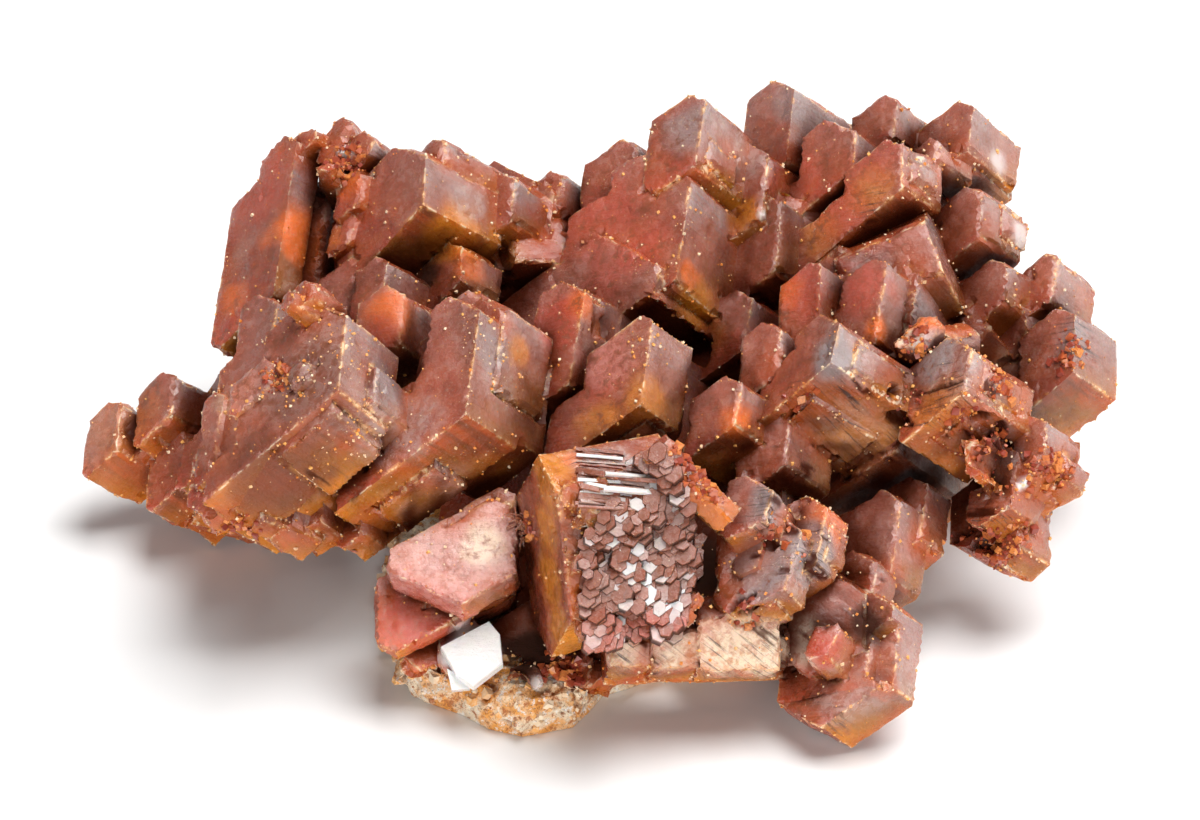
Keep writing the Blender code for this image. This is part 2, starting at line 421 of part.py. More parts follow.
def keep_outer_shell(mesh):
    """Fill the closed gaps between crystals: only the outermost shell of the union stays."""
    shape = bmesh.new()
    shape.from_mesh(mesh)
    bmesh.ops.remove_doubles(shape, verts=shape.verts, dist=WELD * MM)
    bmesh.ops.dissolve_degenerate(shape, edges=shape.edges, dist=WELD * MM)
    unseen = set(shape.faces)
    shells = []
    while unseen:
        shell = set()
        border = [unseen.pop()]
        while border:
            face = border.pop()
            shell.add(face)
            near = {other for edge in face.edges for other in edge.link_faces} & unseen
            unseen -= near
            border.extend(near)
        shells.append(shell)
    shells.sort(key=lambda faces: sum(face.calc_area() for face in faces))
    for shell in shells[:-1]:
        bmesh.ops.delete(shape, geom=list(shell), context="FACES")
    loose = [vert for vert in shape.verts if not vert.link_faces]
    bmesh.ops.delete(shape, geom=loose, context="VERTS")
    shape.to_mesh(mesh)
    shape.free()


def settle(cluster):
    """Replace the object's mesh by its evaluated one, as one shell."""
    evaluated = cluster.evaluated_get(bpy.context.evaluated_depsgraph_get())
    mesh = bpy.data.meshes.new_from_object(evaluated)
    cluster.modifiers.clear()
    cluster.data = mesh
    keep_outer_shell(mesh)


def set_material(target, name, colour, roughness):
    material = bpy.data.materials.new(name)
    material.use_nodes = True
    shader = material.node_tree.nodes["Principled BSDF"]
    shader.inputs["Base Color"].default_value = (*colour, 1)
    shader.inputs["Roughness"].default_value = roughness
    shader.inputs["Metallic"].default_value = 0
    target.data.materials.clear()
    target.data.materials.append(material)


def centre_in_plan(nodes):
    """Move the origin below the middle of the whole specimen, and say where that was."""
    points = [vert.co for node in nodes for vert in node.data.vertices]
    middle = Vector([(min(point[axis] for point in points)
                      + max(point[axis] for point in points)) / 2 for axis in range(2)] + [0])
    for node in nodes:
        node.data.transform(Matrix.Translation(-middle))
    return middle


def new_collection(name):
    collection = bpy.data.collections.new(name)
    bpy.context.scene.collection.children.link(collection)
    return collection


def main():
    for leftover in list(bpy.data.objects):
        bpy.data.objects.remove(leftover, do_unlink=True)
    specimen = new_collection("vanadinite")
    growth = new_collection("growth")
    pits = new_collection("pits")
    rooms = new_collection("rooms")
    rng = random.Random(7)
    for group in (CORE, FRONT_LEFT, FRONT_MIDDLE, MIDDLE_LEFT, LEFT_TAIL, BACK_MIDDLE, BACK_RIGHT,
                  FRONT_RIGHT, FRONT_CLUSTER):
        for spec in group:
            grow(spec, growth, rng)
    mosaic_plates(FRONT_CLUSTER[0], growth, random.Random(PLATE_SEED))
    back_growth(growth, rng)
    for spec in PITS:
        grow(spec, pits, rng)
    cluster = growth.objects["core_middle"]
    growth.objects.unlink(cluster)
    specimen.objects.link(cluster)
    cluster.name = "vanadinite_crystals"
    matrix = lumpy_matrix(specimen)
    room = make_room(matrix, rooms)
    below = [Vector((x * GROUND_REACH, y * GROUND_REACH, 0))
             for x, y in ((-1, -1), (1, -1), (1, 1), (-1, 1))]
    ground = add_prism("ground", below, Vector((0, 0, -GROUND_REACH)), rooms)
    add_boolean(cluster, growth, "UNION")
    add_boolean(cluster, pits, "DIFFERENCE")
    add_boolean(cluster, room, "DIFFERENCE")
    add_boolean(cluster, ground, "DIFFERENCE")
    settle(cluster)
    for helpers in (growth, pits, rooms):
        for helper in helpers.objects:
            helper.hide_render = True
            helper.display_type = "WIRE"
    set_material(cluster, "crystal", (0.30, 0.07, 0.035), 0.35)
    set_material(matrix, "matrix", (0.80, 0.60, 0.38), 0.85)
    specimen["plan_middle"] = centre_in_plan((cluster, matrix))


main()
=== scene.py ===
"""The looks of the vanadinite cluster: fine crystal surfaces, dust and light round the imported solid.

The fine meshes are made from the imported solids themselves. Each flat crystal face is filled with an
even grid of points, which then takes growth steps, striations, worn edges and pits. Lengths are in
millimetres until a mesh is made. Places seen in the photograph are pixels of its 1200 x 820 frame:
a line of sight through the pixel finds the place on the solid.
"""

import itertools
import math
import random

import bmesh
import bpy
import numpy as np
from mathutils import Matrix, Vector, bvhtree, geometry, kdtree


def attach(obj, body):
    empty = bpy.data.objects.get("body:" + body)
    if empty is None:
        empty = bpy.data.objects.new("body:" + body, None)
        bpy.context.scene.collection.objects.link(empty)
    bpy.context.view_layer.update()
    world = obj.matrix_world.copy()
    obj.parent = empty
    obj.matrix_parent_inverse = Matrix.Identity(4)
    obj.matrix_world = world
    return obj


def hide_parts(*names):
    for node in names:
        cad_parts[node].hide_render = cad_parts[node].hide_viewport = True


MM = 0.001

# The photograph's camera: 25 pixels are 1 mm in the plane through the sight's target.
PHOTO_SIZE = (1200, 820)
VIEW_TILT = math.radians(35)
VIEW_DISTANCE = 240.0
VIEW_TARGET = (0.066, -3.61, 9.5)
PIXELS_PER_MM = 25
LENS = 180.0
SENSOR = 36.0

# The way most of the crystals grew, out of their flat ends, and how two of their sides face.
GROWTH = Vector((-0.56, -0.37, 0.74)).normalized()
RIGHT_SIDE = Vector((0.82, -0.38, 0.42)).normalized()
LOWER_SIDE = Vector((0.30, -0.92, -0.24)).normalized()

# How finely the crystal faces are divided, in mm between points.
FINEST_SPACING = 0.16
FINE_SPACING = 0.235
COARSE_SPACING = 0.42
FINEST_BOXES = [((-14.5, -13.5, 4.0), (-2.0, -6.5, 16.0)), ((-2.6, -16.0, 2.0), (9.5, -9.5, 13.5)),
                ((5.0, -7.5, 6.0), (16.0, 0.0, 14.0))]
SAME_FACE = math.radians(0.2)
SHARP = math.radians(4)
MATRIX_SPACING = 0.15

# How far a point looks for the far side below it and for neighbours above it, in mm.
DEEPEST = 8.0
SKY_REACH = 5.0
CLEAR_OF_FACE = 0.02
RAYS_TO_A_POINT = 4

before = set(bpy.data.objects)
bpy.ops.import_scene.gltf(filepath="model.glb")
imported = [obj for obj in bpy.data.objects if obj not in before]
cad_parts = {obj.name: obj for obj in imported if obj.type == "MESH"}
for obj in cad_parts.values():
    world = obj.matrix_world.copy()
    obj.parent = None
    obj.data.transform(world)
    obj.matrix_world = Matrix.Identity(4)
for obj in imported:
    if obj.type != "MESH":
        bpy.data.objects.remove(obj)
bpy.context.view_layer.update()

# Small tools

def smooth_step(low, high, value):
    part = np.clip((value - low) / (high - low), 0, 1)
    return part * part * (3 - 2 * part)

def lattice_noise(points, size, seed=0):
    """Smooth noise from -1 to 1 at each point, with lumps about size mm across."""
    place = points / size
    cell = np.floor(place).astype(np.int64)
    part = place - cell
    part = part * part * (3 - 2 * part)
    total = np.zeros(len(points))
    for corner in itertools.product((0, 1), repeat=3):
        key = (cell + corner) @ np.array((73856093, 19349663, 83492791)) + seed * 7919
        key = (key ^ (key >> 13)) * 1274126177
        key = key ^ (key >> 16)
        value = (key & 0xFFFF) / 32767.5 - 1
        weight = np.prod(np.where(corner, part, 1 - part), axis=1)
        total += weight * value
    return total

def layered_noise(points, size, layers=4, seed=0):
    """Noise with finer and finer lumps, each layer half as large and half as strong."""
    total = np.zeros(len(points))
    for layer in range(layers):
        total += lattice_noise(points, size / 2 ** layer, seed + layer) / 2 ** layer
    return total / 1.6

def triangle_normals(corners):
    """Each triangle's normal, as long as twice its area."""
    return np.cross(corners[:, 1] - corners[:, 0], corners[:, 2] - corners[:, 0])

def new_mesh(name, points, triangles):
    mesh = bpy.data.meshes.new(name)
    mesh.vertices.add(len(points))
    mesh.vertices.foreach_set("co", (np.asarray(points) * MM).astype(np.float32).ravel())
    corners = np.asarray(triangles, dtype=np.int32)
    mesh.loops.add(corners.size)
    mesh.loops.foreach_set("vertex_index", corners.ravel())
    mesh.polygons.add(len(corners))
    mesh.polygons.foreach_set("loop_start", np.arange(0, corners.size, 3, dtype=np.int32))
    mesh.update(calc_edges=True)
    mesh.validate()
    return mesh

def new_object(name, data):
    made = bpy.data.objects.new(name, data)
    bpy.context.scene.collection.objects.link(made)
    return made

def new_piece(name, mesh, material):
    piece = new_object(name, mesh)
    mesh.materials.append(material)
    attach(piece, "root")
    return piece

# Camera and lines of sight

def sight_frame():
    forward = Vector((0, math.cos(VIEW_TILT), -math.sin(VIEW_TILT)))
    right = Vector((1, 0, 0))
    return forward, right, right.cross(forward)

def make_camera():
    forward, _, _ = sight_frame()
    data = bpy.data.cameras.new("camera")
    data.lens = LENS
    data.sensor_width = SENSOR
    data.clip_start = 0.001
    data.clip_end = 10
    camera = new_object("camera", data)
    camera.location = (Vector(VIEW_TARGET) - forward * VIEW_DISTANCE) * MM
    camera.rotation_euler = (math.pi / 2 - VIEW_TILT, 0, 0)
    bpy.context.scene.camera = camera

def solid_tree(node):
    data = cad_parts[node].data
    return bvhtree.BVHTree.FromPolygons([vert.co / MM for vert in data.vertices],
                                        [list(face.vertices) for face in data.polygons])

def seen_at(trees, pixel_x, pixel_y):
    """The nearest place on the solids under a pixel of the photograph, and how it faces."""
    forward, right, up = sight_frame()
    eye = Vector(VIEW_TARGET) - forward * VIEW_DISTANCE
    across = (pixel_x - PHOTO_SIZE[0] / 2) / PHOTO_SIZE[0] * SENSOR
    rise = (PHOTO_SIZE[1] / 2 - pixel_y) / PHOTO_SIZE[0] * SENSOR
    sight = (forward * LENS + right * across + up * rise).normalized()
    hits = [tree.ray_cast(eye, sight) for tree in trees]
    hits = [hit for hit in hits if hit[0] is not None]
    if not hits:
        return None
    place, normal, _, _ = min(hits, key=lambda hit: hit[3])
    return place, normal

# The fine surface

class Surface:
    """A closed surface of small triangles that knows which flat face each one lies in."""

    def __init__(self, node, spacing_for):
        shape = bmesh.new()
        shape.from_mesh(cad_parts[node].data)
        bmesh.ops.remove_doubles(shape, verts=shape.verts, dist=1e-7)
        bmesh.ops.dissolve_limit(shape, angle_limit=SAME_FACE, verts=shape.verts[:],
                                 edges=shape.edges[:])
        shape.normal_update()
        for items in (shape.verts, shape.edges, shape.faces):
            items.index_update()
        self.points = [np.array(vert.co) / MM for vert in shape.verts]
        self.face_normal = np.array([face.normal for face in shape.faces])
        self.face_area = np.array([face.calc_area() / MM ** 2 for face in shape.faces])
        self.face_axis = np.array([self.grain(face.normal) for face in shape.faces])
        spacing = [spacing_for(face) for face in shape.faces]
        self.triangles = []
        self.face_of = []
        divided = self.divide_edges(shape, spacing)
        for face in shape.faces:
            self.fill(face, divided, spacing[face.index])
        self.points = np.array(self.points)
        self.triangles = np.array(self.triangles)
        self.face_of = np.array(self.face_of)
        self.normal = self.vertex_normals()
        self.ridge, self.valley = self.edge_distances(shape, divided)
        self.tree = bvhtree.BVHTree.FromBMesh(shape)
        shape.free()

    @staticmethod
    def grain(normal):
        """The growth direction as it lies in a face, or a side's direction on a flat end."""
        along = GROWTH - normal * GROWTH.dot(normal)
        if along.length < 0.35:
            along = RIGHT_SIDE - normal * RIGHT_SIDE.dot(normal)
        return along.normalized()

    def divide_edges(self, shape, spacing):
        divided = {}
        for edge in shape.edges:
            start, end = (vert.index for vert in edge.verts)
            step = min(spacing[face.index] for face in edge.link_faces)
            count = max(1, round(edge.calc_length() / MM / step))
            row = [start]
            for number in range(1, count):
                share = number / count
                row.append(len(self.points))
                self.points.append(self.points[start] * (1 - share) + self.points[end] * share)
            row.append(end)
            divided[edge.index] = row
        return divided

    def fill(self, face, divided, spacing):
        """Fill one flat face with an even grid of triangles that meets its divided edges."""
        outline = []
        for loop in face.loops:
            row = divided[loop.edge.index]
            outline.extend(row[:-1] if row[0] == loop.vert.index else row[:0:-1])
        normal = np.array(face.normal)
        across = self.face_axis[face.index]
        upward = np.cross(normal, across)
        origin = self.points[outline[0]]
        rim = np.array([self.points[number] - origin for number in outline])
        rim = np.stack((rim @ across, rim @ upward), axis=1)
        inner = self.grid_inside(rim, spacing, face.index)
        flat = [Vector(point) for point in rim] + [Vector(point) for point in inner]
        made = geometry.delaunay_2d_cdt(flat, [], [list(range(len(rim)))], 1, 1e-7)
        numbers = []
        for place, sources in zip(made[0], made[3]):
            known = [source for source in sources if source < len(outline)]
            if known:
                numbers.append(outline[known[0]])
            else:
                numbers.append(len(self.points))
                self.points.append(origin + across * place.x + upward * place.y)
        for corners in made[2]:
            self.triangles.append([numbers[corner] for corner in corners])
            self.face_of.append(face.index)

    @staticmethod
    def grid_inside(rim, spacing, seed):
        low, high = rim.min(0), rim.max(0)
        row_height = spacing * math.sqrt(3) / 2
        rng = np.random.default_rng(seed)
        start = low + rng.uniform(0, spacing, 2)
        grid_x = np.arange(start[0], high[0], spacing)
        grid_y = np.arange(start[1], high[1], row_height)
        if not len(grid_x) or not len(grid_y):
            return np.zeros((0, 2))
        x, y = np.meshgrid(grid_x, grid_y)
        x = x + (np.arange(len(grid_y)) % 2)[:, None] * spacing / 2
        spots = np.stack((x.ravel(), y.ravel()), axis=1)
        spots = spots + rng.uniform(-0.16, 0.16, spots.shape) * spacing
        begin, end = rim, np.roll(rim, -1, axis=0)
        run = end - begin
        length = np.maximum((run ** 2).sum(1), 1e-12)
        gap = spots[:, None, :] - begin[None]
        share = np.clip((gap * run[None]).sum(2) / length[None], 0, 1)
        nearest = np.sqrt(((gap - share[..., None] * run[None]) ** 2).sum(2).min(1))
        rises = (begin[None, :, 1] > spots[:, None, 1]) != (end[None, :, 1] > spots[:, None, 1])
        slope = run[:, 0] / np.where(np.abs(run[:, 1]) < 1e-12, 1e-12, run[:, 1])
        crossing = begin[None, :, 0] + (spots[:, None, 1] - begin[None, :, 1]) * slope[None]
        inside = (rises & (spots[:, None, 0] < crossing)).sum(1) % 2 == 1
        return spots[inside & (nearest > 0.55 * spacing)]

    def vertex_normals(self):
        total = np.zeros_like(self.points)
        area = np.linalg.norm(triangle_normals(self.points[self.triangles]), axis=1)
        weighted = self.face_normal[self.face_of] * area[:, None]
        for corner in range(3):
            np.add.at(total, self.triangles[:, corner], weighted)
        return total / np.maximum(np.linalg.norm(total, axis=1), 1e-12)[:, None]

    def edge_distances(self, shape, divided):
        """How far each point is from an edge that stands out, and from one that lies in a valley."""
        rows = {True: [], False: []}
        for edge in shape.edges:
            first, second = edge.link_faces[:2]
            if first.normal.angle(second.normal, 0) > SHARP:
                middle = second.calc_center_median() - edge.verts[0].co
                rows[first.normal.dot(middle) < 0].extend(divided[edge.index])
        distances = []
        for standing in (True, False):
            tree = kdtree.KDTree(len(rows[standing]))
            for number, point in enumerate(rows[standing]):
                tree.insert(self.points[point], number)
            tree.balance()
            distances.append(np.array([tree.find(point)[2] for point in self.points]))
        return distances

def spacing_on_crystals(face):
    """Fine where the specimen is looked at from the front or above, coarser behind and below."""
    if face.normal.y > 0.35 or face.normal.z < -0.55:
        return COARSE_SPACING
    middle = face.calc_center_median() / MM
    for low, high in FINEST_BOXES:
        if all(low[axis] < middle[axis] < high[axis] for axis in range(3)):
            return FINEST_SPACING
    return FINE_SPACING

def add_attribute(mesh, name, values, domain="POINT"):
    layer = mesh.attributes.new(name, "FLOAT", domain)
    layer.data.foreach_set("value", np.asarray(values, dtype=np.float32))

def depth_and_openness(surface):
    """How thick the specimen is below each point, and how much sky the point sees."""
    thickness = np.zeros(len(surface.points))
    openness = np.zeros(len(surface.points))
    rng = np.random.default_rng(5)
    bundle = rng.normal(size=(64, 3))
    bundle /= np.linalg.norm(bundle, axis=1)[:, None]
    for number, (point, normal) in enumerate(zip(surface.points, surface.normal)):
        start = Vector(point * MM)
        outward = Vector(normal)
        clear = outward * CLEAR_OF_FACE * MM
        hit = surface.tree.ray_cast(start - clear, -outward, DEEPEST * MM)
        thickness[number] = DEEPEST if hit[0] is None else hit[3] / MM
        free = 0
        first = number * 5 % 60
        for direction in bundle[first:first + RAYS_TO_A_POINT]:
            ray = (outward * 1.05 + Vector(direction)).normalized()
            if surface.tree.ray_cast(start + clear, ray, SKY_REACH * MM)[0] is None:
                free += 1
        openness[number] = free / RAYS_TO_A_POINT
    return evened(surface, thickness, 2), evened(surface, openness, 5)

def evened(surface, values, times):
    """The values averaged with those of the neighbouring points, a few times over."""
    corners = surface.triangles.ravel()
    share = np.bincount(corners, minlength=len(values))
    for _ in range(times):
        mean = np.repeat(values[surface.triangles].mean(1), 3)
        values = np.bincount(corners, mean, minlength=len(values)) / np.maximum(share, 1)
    return values

# Materials

class Tree:
    """A material's nodes, with short ways to add the usual ones."""

    def __init__(self, name):
        self.material = bpy.data.materials.new(name)
        self.material.use_nodes = True
        self.nodes = self.material.node_tree.nodes
        self.links = self.material.node_tree.links
        self.shader = self.nodes["Principled BSDF"]
        where = self.node("TexCoord", {}).outputs["Object"]
        values = {0: where, "Scale": 1 / MM}
        self.place = self.node("VectorMath", values, operation="SCALE").outputs[0]

    def put(self, socket, value):
        if hasattr(value, "is_linked"):
            self.links.new(value, socket)
        else:
            socket.default_value = value

    def node(self, kind, values, **settings):
        """A new node with its settings, and with values or links put in its inputs."""
        made = self.nodes.new("ShaderNode" + kind)
        for name, setting in settings.items():
            setattr(made, name, setting)
        for key, value in values.items():
            self.put(made.inputs[key], value)
        return made

    def shade(self, values):
        """Put values or links in the shader's inputs."""
        for key, value in values.items():
            self.put(self.shader.inputs[key], value)
        return self.material

    def value(self, name):
        return self.node("Attribute", {}, attribute_name=name).outputs["Fac"]

    def stretched(self, name, along, across):
        """A face's own grain, in mm along and across it, drawn out by the two factors."""
        grain = self.node("UVMap", {}, uv_map=name).outputs[0]
        return self.node("Mapping", {"Vector": grain, "Scale": (along, across, 1)}).outputs[0]

    def reach(self):
        """How far to the right and how far up a place lies on its flat face, from 0 to 1."""
        places = self.node("UVMap", {}, uv_map="reach").outputs[0]
        parts = self.node("SeparateXYZ", {0: places})
        return parts.outputs[0], parts.outputs[1]

    def noise(self, per_mm, detail=4, rough=0.55, distortion=0.0, vector=None):
        values = {"Vector": vector or self.place, "Scale": per_mm, "Detail": detail,
                  "Roughness": rough, "Distortion": distortion}
        return self.node("TexNoise", values).outputs["Fac"]

    def spots(self, per_mm, share):
        """Round spots, one in each cell, that reach the given share of a cell's width."""
        cell = self.node("TexVoronoi", {"Vector": self.place, "Scale": per_mm})
        return self.between(cell.outputs["Distance"], 0.3 * share, share, 1.0, 0.0)

    def maths(self, operation, first, second=0.0, clamp=False):
        values = {0: first, 1: second}
        return self.node("Math", values, operation=operation, use_clamp=clamp).outputs[0]

    def times(self, first, second):
        return self.maths("MULTIPLY", first, second)

    def less(self, first, second):
        return self.maths("SUBTRACT", first, second, clamp=True)

    def between(self, value, low, high, to_low=0.0, to_high=1.0):
        """value's share of the way from low to high, smoothly, set between to_low and to_high."""
        values = {"Value": value, "From Min": low, "From Max": high, "To Min": to_low,
                  "To Max": to_high}
        return self.node("MapRange", values, interpolation_type="SMOOTHSTEP").outputs["Result"]

    def blend(self, share, first, second):
        values = {0: share, 6: first, 7: second}
        return self.node("Mix", values, data_type="RGBA").outputs[2]

    def bump(self, height, depth_mm, strength, normal=None):
        values = {"Strength": strength, "Distance": depth_mm * MM, "Height": height}
        if normal:
            values["Normal"] = normal
        return self.node("Bump", values).outputs["Normal"]

def colour(red, green, blue):
    return (red, green, blue, 1.0)

MAROON = colour(0.27, 0.042, 0.022)
RED_BROWN = colour(0.45, 0.092, 0.026)
MAUVE = colour(0.36, 0.105, 0.072)
PURPLE_GREY = colour(0.24, 0.090, 0.062)
SCALE_BROWN = colour(0.24, 0.068, 0.034)
BROWN = colour(0.20, 0.055, 0.020)
OLIVE = colour(0.34, 0.125, 0.014)
GOLDEN = colour(0.72, 0.235, 0.010)
PALE_MARKS_AND_SHEEN = colour(0.46, 0.25, 0.21)
PAINTED_GREY_SHEEN = colour(0.50, 0.42, 0.39)
STEEL = colour(0.29, 0.232, 0.225)
DUST = colour(0.80, 0.38, 0.10)
CREAM = colour(0.86, 0.70, 0.50)
GLOW = colour(0.90, 0.17, 0.008)
EMBER = colour(0.44, 0.075, 0.007)
RED = colour(0.50, 0.055, 0.025)
PINK = colour(0.66, 0.36, 0.31)
DARK = colour(0.030, 0.012, 0.008)
CREVICE_SHADE = colour(0.05, 0.008, 0.003)
WHITE = colour(0.92, 0.91, 0.89)
# The matrix, the loose grains and the floor
OCHRE = colour(0.84, 0.36, 0.07)
RUST = colour(0.45, 0.13, 0.03)
SOOT = colour(0.16, 0.06, 0.02)
DUST_ORANGE = colour(0.75, 0.22, 0.03)
CRUMB_GOLD = colour(0.7, 0.25, 0.06)
GRIT_BROWN = colour(0.35, 0.12, 0.04)
FLOOR_GREY = colour(0.86, 0.86, 0.86)
FLOOR_WHITE = colour(0.90, 0.90, 0.89)

# Accents that colour the crystals: tint, strength, and the mottling's range over which it shows.
ACCENT_TINTS = {
    "gold": (GOLDEN, 0.9, 0.2, 0.6),
    # glow: a painted orange glow, as of light through the crystals.
    "glow": (GLOW, 0.95, 0.2, 0.5),
    "red": (RED, 0.85, 0.2, 0.6),
    "pink": (PINK, 0.8, 0.30, 0.6),
    "cream": (CREAM, 0.85, 0.35, 0.55),
    # grey and steel: painted sheen, pale grey and steel grey.
    "grey": (PAINTED_GREY_SHEEN, 0.70, 0.34, 0.62),
    "steel": (STEEL, 0.95, 0.0, 0.4),
    "scales": (SCALE_BROWN, 0.95, 0.0, 0.4),
}
# Fine dust: spots to the mm, their share of a cell, and their colour.
DUST_SPOTS = ((3.6, 0.17, CREAM), (8.0, 0.24, DUST))

def face_colours(tree, cloud, blotch, mottle, lines):
    """Colours by kind of face, with painted light up and down each face.

    Flat ends go lighter mauve with a patchy painted sheen towards the top, a painted red glow towards
    the bottom and greyer towards the right; right sides are greyer in patches, with a painted steel-grey
    sheen at the top, going olive towards the bottom; lower sides go from brown at the top to a painted
    golden glow at the bottom.
    """
    wide_lines = tree.noise(1.0, 4, 0.6, 0.3, tree.stretched("grain", 0.22, 2.0))
    rightward, upward = tree.reach()
    wander = tree.times(tree.maths("SUBTRACT", blotch, 0.5), 0.9)
    height = tree.maths("ADD", upward, wander)
    side = tree.maths("ADD", rightward, wander)
    body = tree.blend(tree.between(blotch, 0.34, 0.66), MAROON, RED_BROWN)
    body = tree.blend(tree.times(tree.value("tone"), 0.3), body, BROWN)
    # Painted sheen: pale grey patches on the flat ends, stronger towards the top.
    patchy_sheen = tree.times(tree.between(mottle, 0.46, 0.70, 0.0, 0.5), tree.between(blotch, 0.40, 0.62))
    patchy_sheen = tree.times(patchy_sheen, tree.between(height, 0.2, 0.7, 0.3, 1.0))
    # Painted sheen: steel grey at the top of the right sides.
    sheen = tree.times(tree.between(height, 0.40, 0.95, 0.0, 0.72),
                       tree.between(lines, 0.36, 0.62, 0.6, 1.25))
    # Painted light up and down each face: lighter at the top and red at the bottom of the flat ends,
    # olive at the bottom of the right sides.
    layers = (("flat_end", tree.between(height, 0.30, 0.95, 0.05, 0.9), MAUVE),
              ("flat_end", tree.between(height, 0.42, 0.0, 0.0, 0.6), RED),
              ("flat_end", tree.between(side, 0.70, 1.05, 0.0, 0.6), PURPLE_GREY),
              ("flat_end", patchy_sheen, PALE_MARKS_AND_SHEEN),
              ("right_side", tree.between(cloud, 0.36, 0.60, 0.35, 0.85), PURPLE_GREY),
              ("right_side", sheen, STEEL),
              ("right_side", tree.between(height, 0.50, 0.0, 0.0, 0.8), OLIVE))
    for face, share, tint in layers:
        body = tree.blend(tree.times(tree.value(face), share), body, tint)
    # Painted glow on the lower sides: brown at the top, olive and then golden towards the bottom.
    low = tree.blend(tree.between(wide_lines, 0.35, 0.65), BROWN, RED_BROWN)
    low = tree.blend(tree.between(height, 0.80, 0.35), low, OLIVE)
    low = tree.blend(tree.between(height, 0.48, 0.0, 0.0, 0.9), low, GOLDEN)
    body = tree.blend(tree.times(tree.value("lower_side"), 0.9), body, low)
    return tree.blend(tree.between(blotch, 0.46, 0.30, 0.0, 0.65), body, BROWN)

def lines_and_specks(tree, body, cloud, mottle, fine, lines):
    """Brown stains on the flat ends, growth lines along the grain, and fine dark and pale specks."""
    stain = tree.times(tree.between(mottle, 0.50, 0.36, 0.0, 0.7), tree.between(cloud, 0.58, 0.44))
    body = tree.blend(tree.times(stain, tree.value("flat_end")), body, BROWN)
    striated = tree.value("striated")
    streaks = tree.times(tree.between(lines, 0.51, 0.66), tree.between(striated, 0.0, 0.8, 0.10, 0.9))
    body = tree.blend(streaks, body, DARK)
    pale_lines = tree.times(tree.between(lines, 0.44, 0.32),
                            tree.between(striated, 0.0, 0.8, 0.04, 0.45))
    body = tree.blend(pale_lines, body, PALE_MARKS_AND_SHEEN)
    body = tree.blend(tree.between(fine, 0.46, 0.32, 0, 0.55), body, BROWN)
    specks = tree.times(tree.between(fine, 0.55, 0.66, 0, 0.75), tree.between(cloud, 0.38, 0.6))
    return tree.blend(specks, body, PALE_MARKS_AND_SHEEN)

def edges_and_nooks(tree, body, cloud, blotch, mottle):
    """Gold dust along the standing edges with a painted cream highlight on their crests, and a painted
    orange glow where crystals meet.
    """
    ridge = tree.value("ridge")
    rim = tree.times(tree.between(ridge, 0.0, 0.20, 1.0, 0.0), tree.between(blotch, 0.44, 0.58))
    rim = tree.times(rim, tree.between(mottle, 0.42, 0.58))
    body = tree.blend(tree.times(rim, 0.8), body, DUST)
    # Painted highlight: a thin cream line on the crest of the standing edges.
    edge_highlight = tree.times(tree.between(ridge, 0.0, 0.09, 1.0, 0.0), tree.between(mottle, 0.50, 0.60))
    body = tree.blend(tree.times(edge_highlight, 0.8), body, CREAM)
    # Painted glow: orange in the valleys where crystals meet.
    nook = tree.times(tree.between(tree.value("valley"), 0.0, 1.0, 1.0, 0.0),
                      tree.between(cloud, 0.38, 0.56, 0.15, 0.9))
    nook = tree.times(nook, tree.between(tree.value("flat_end"), 0.0, 1.0, 0.8, 0.4))
    return tree.blend(nook, body, EMBER)

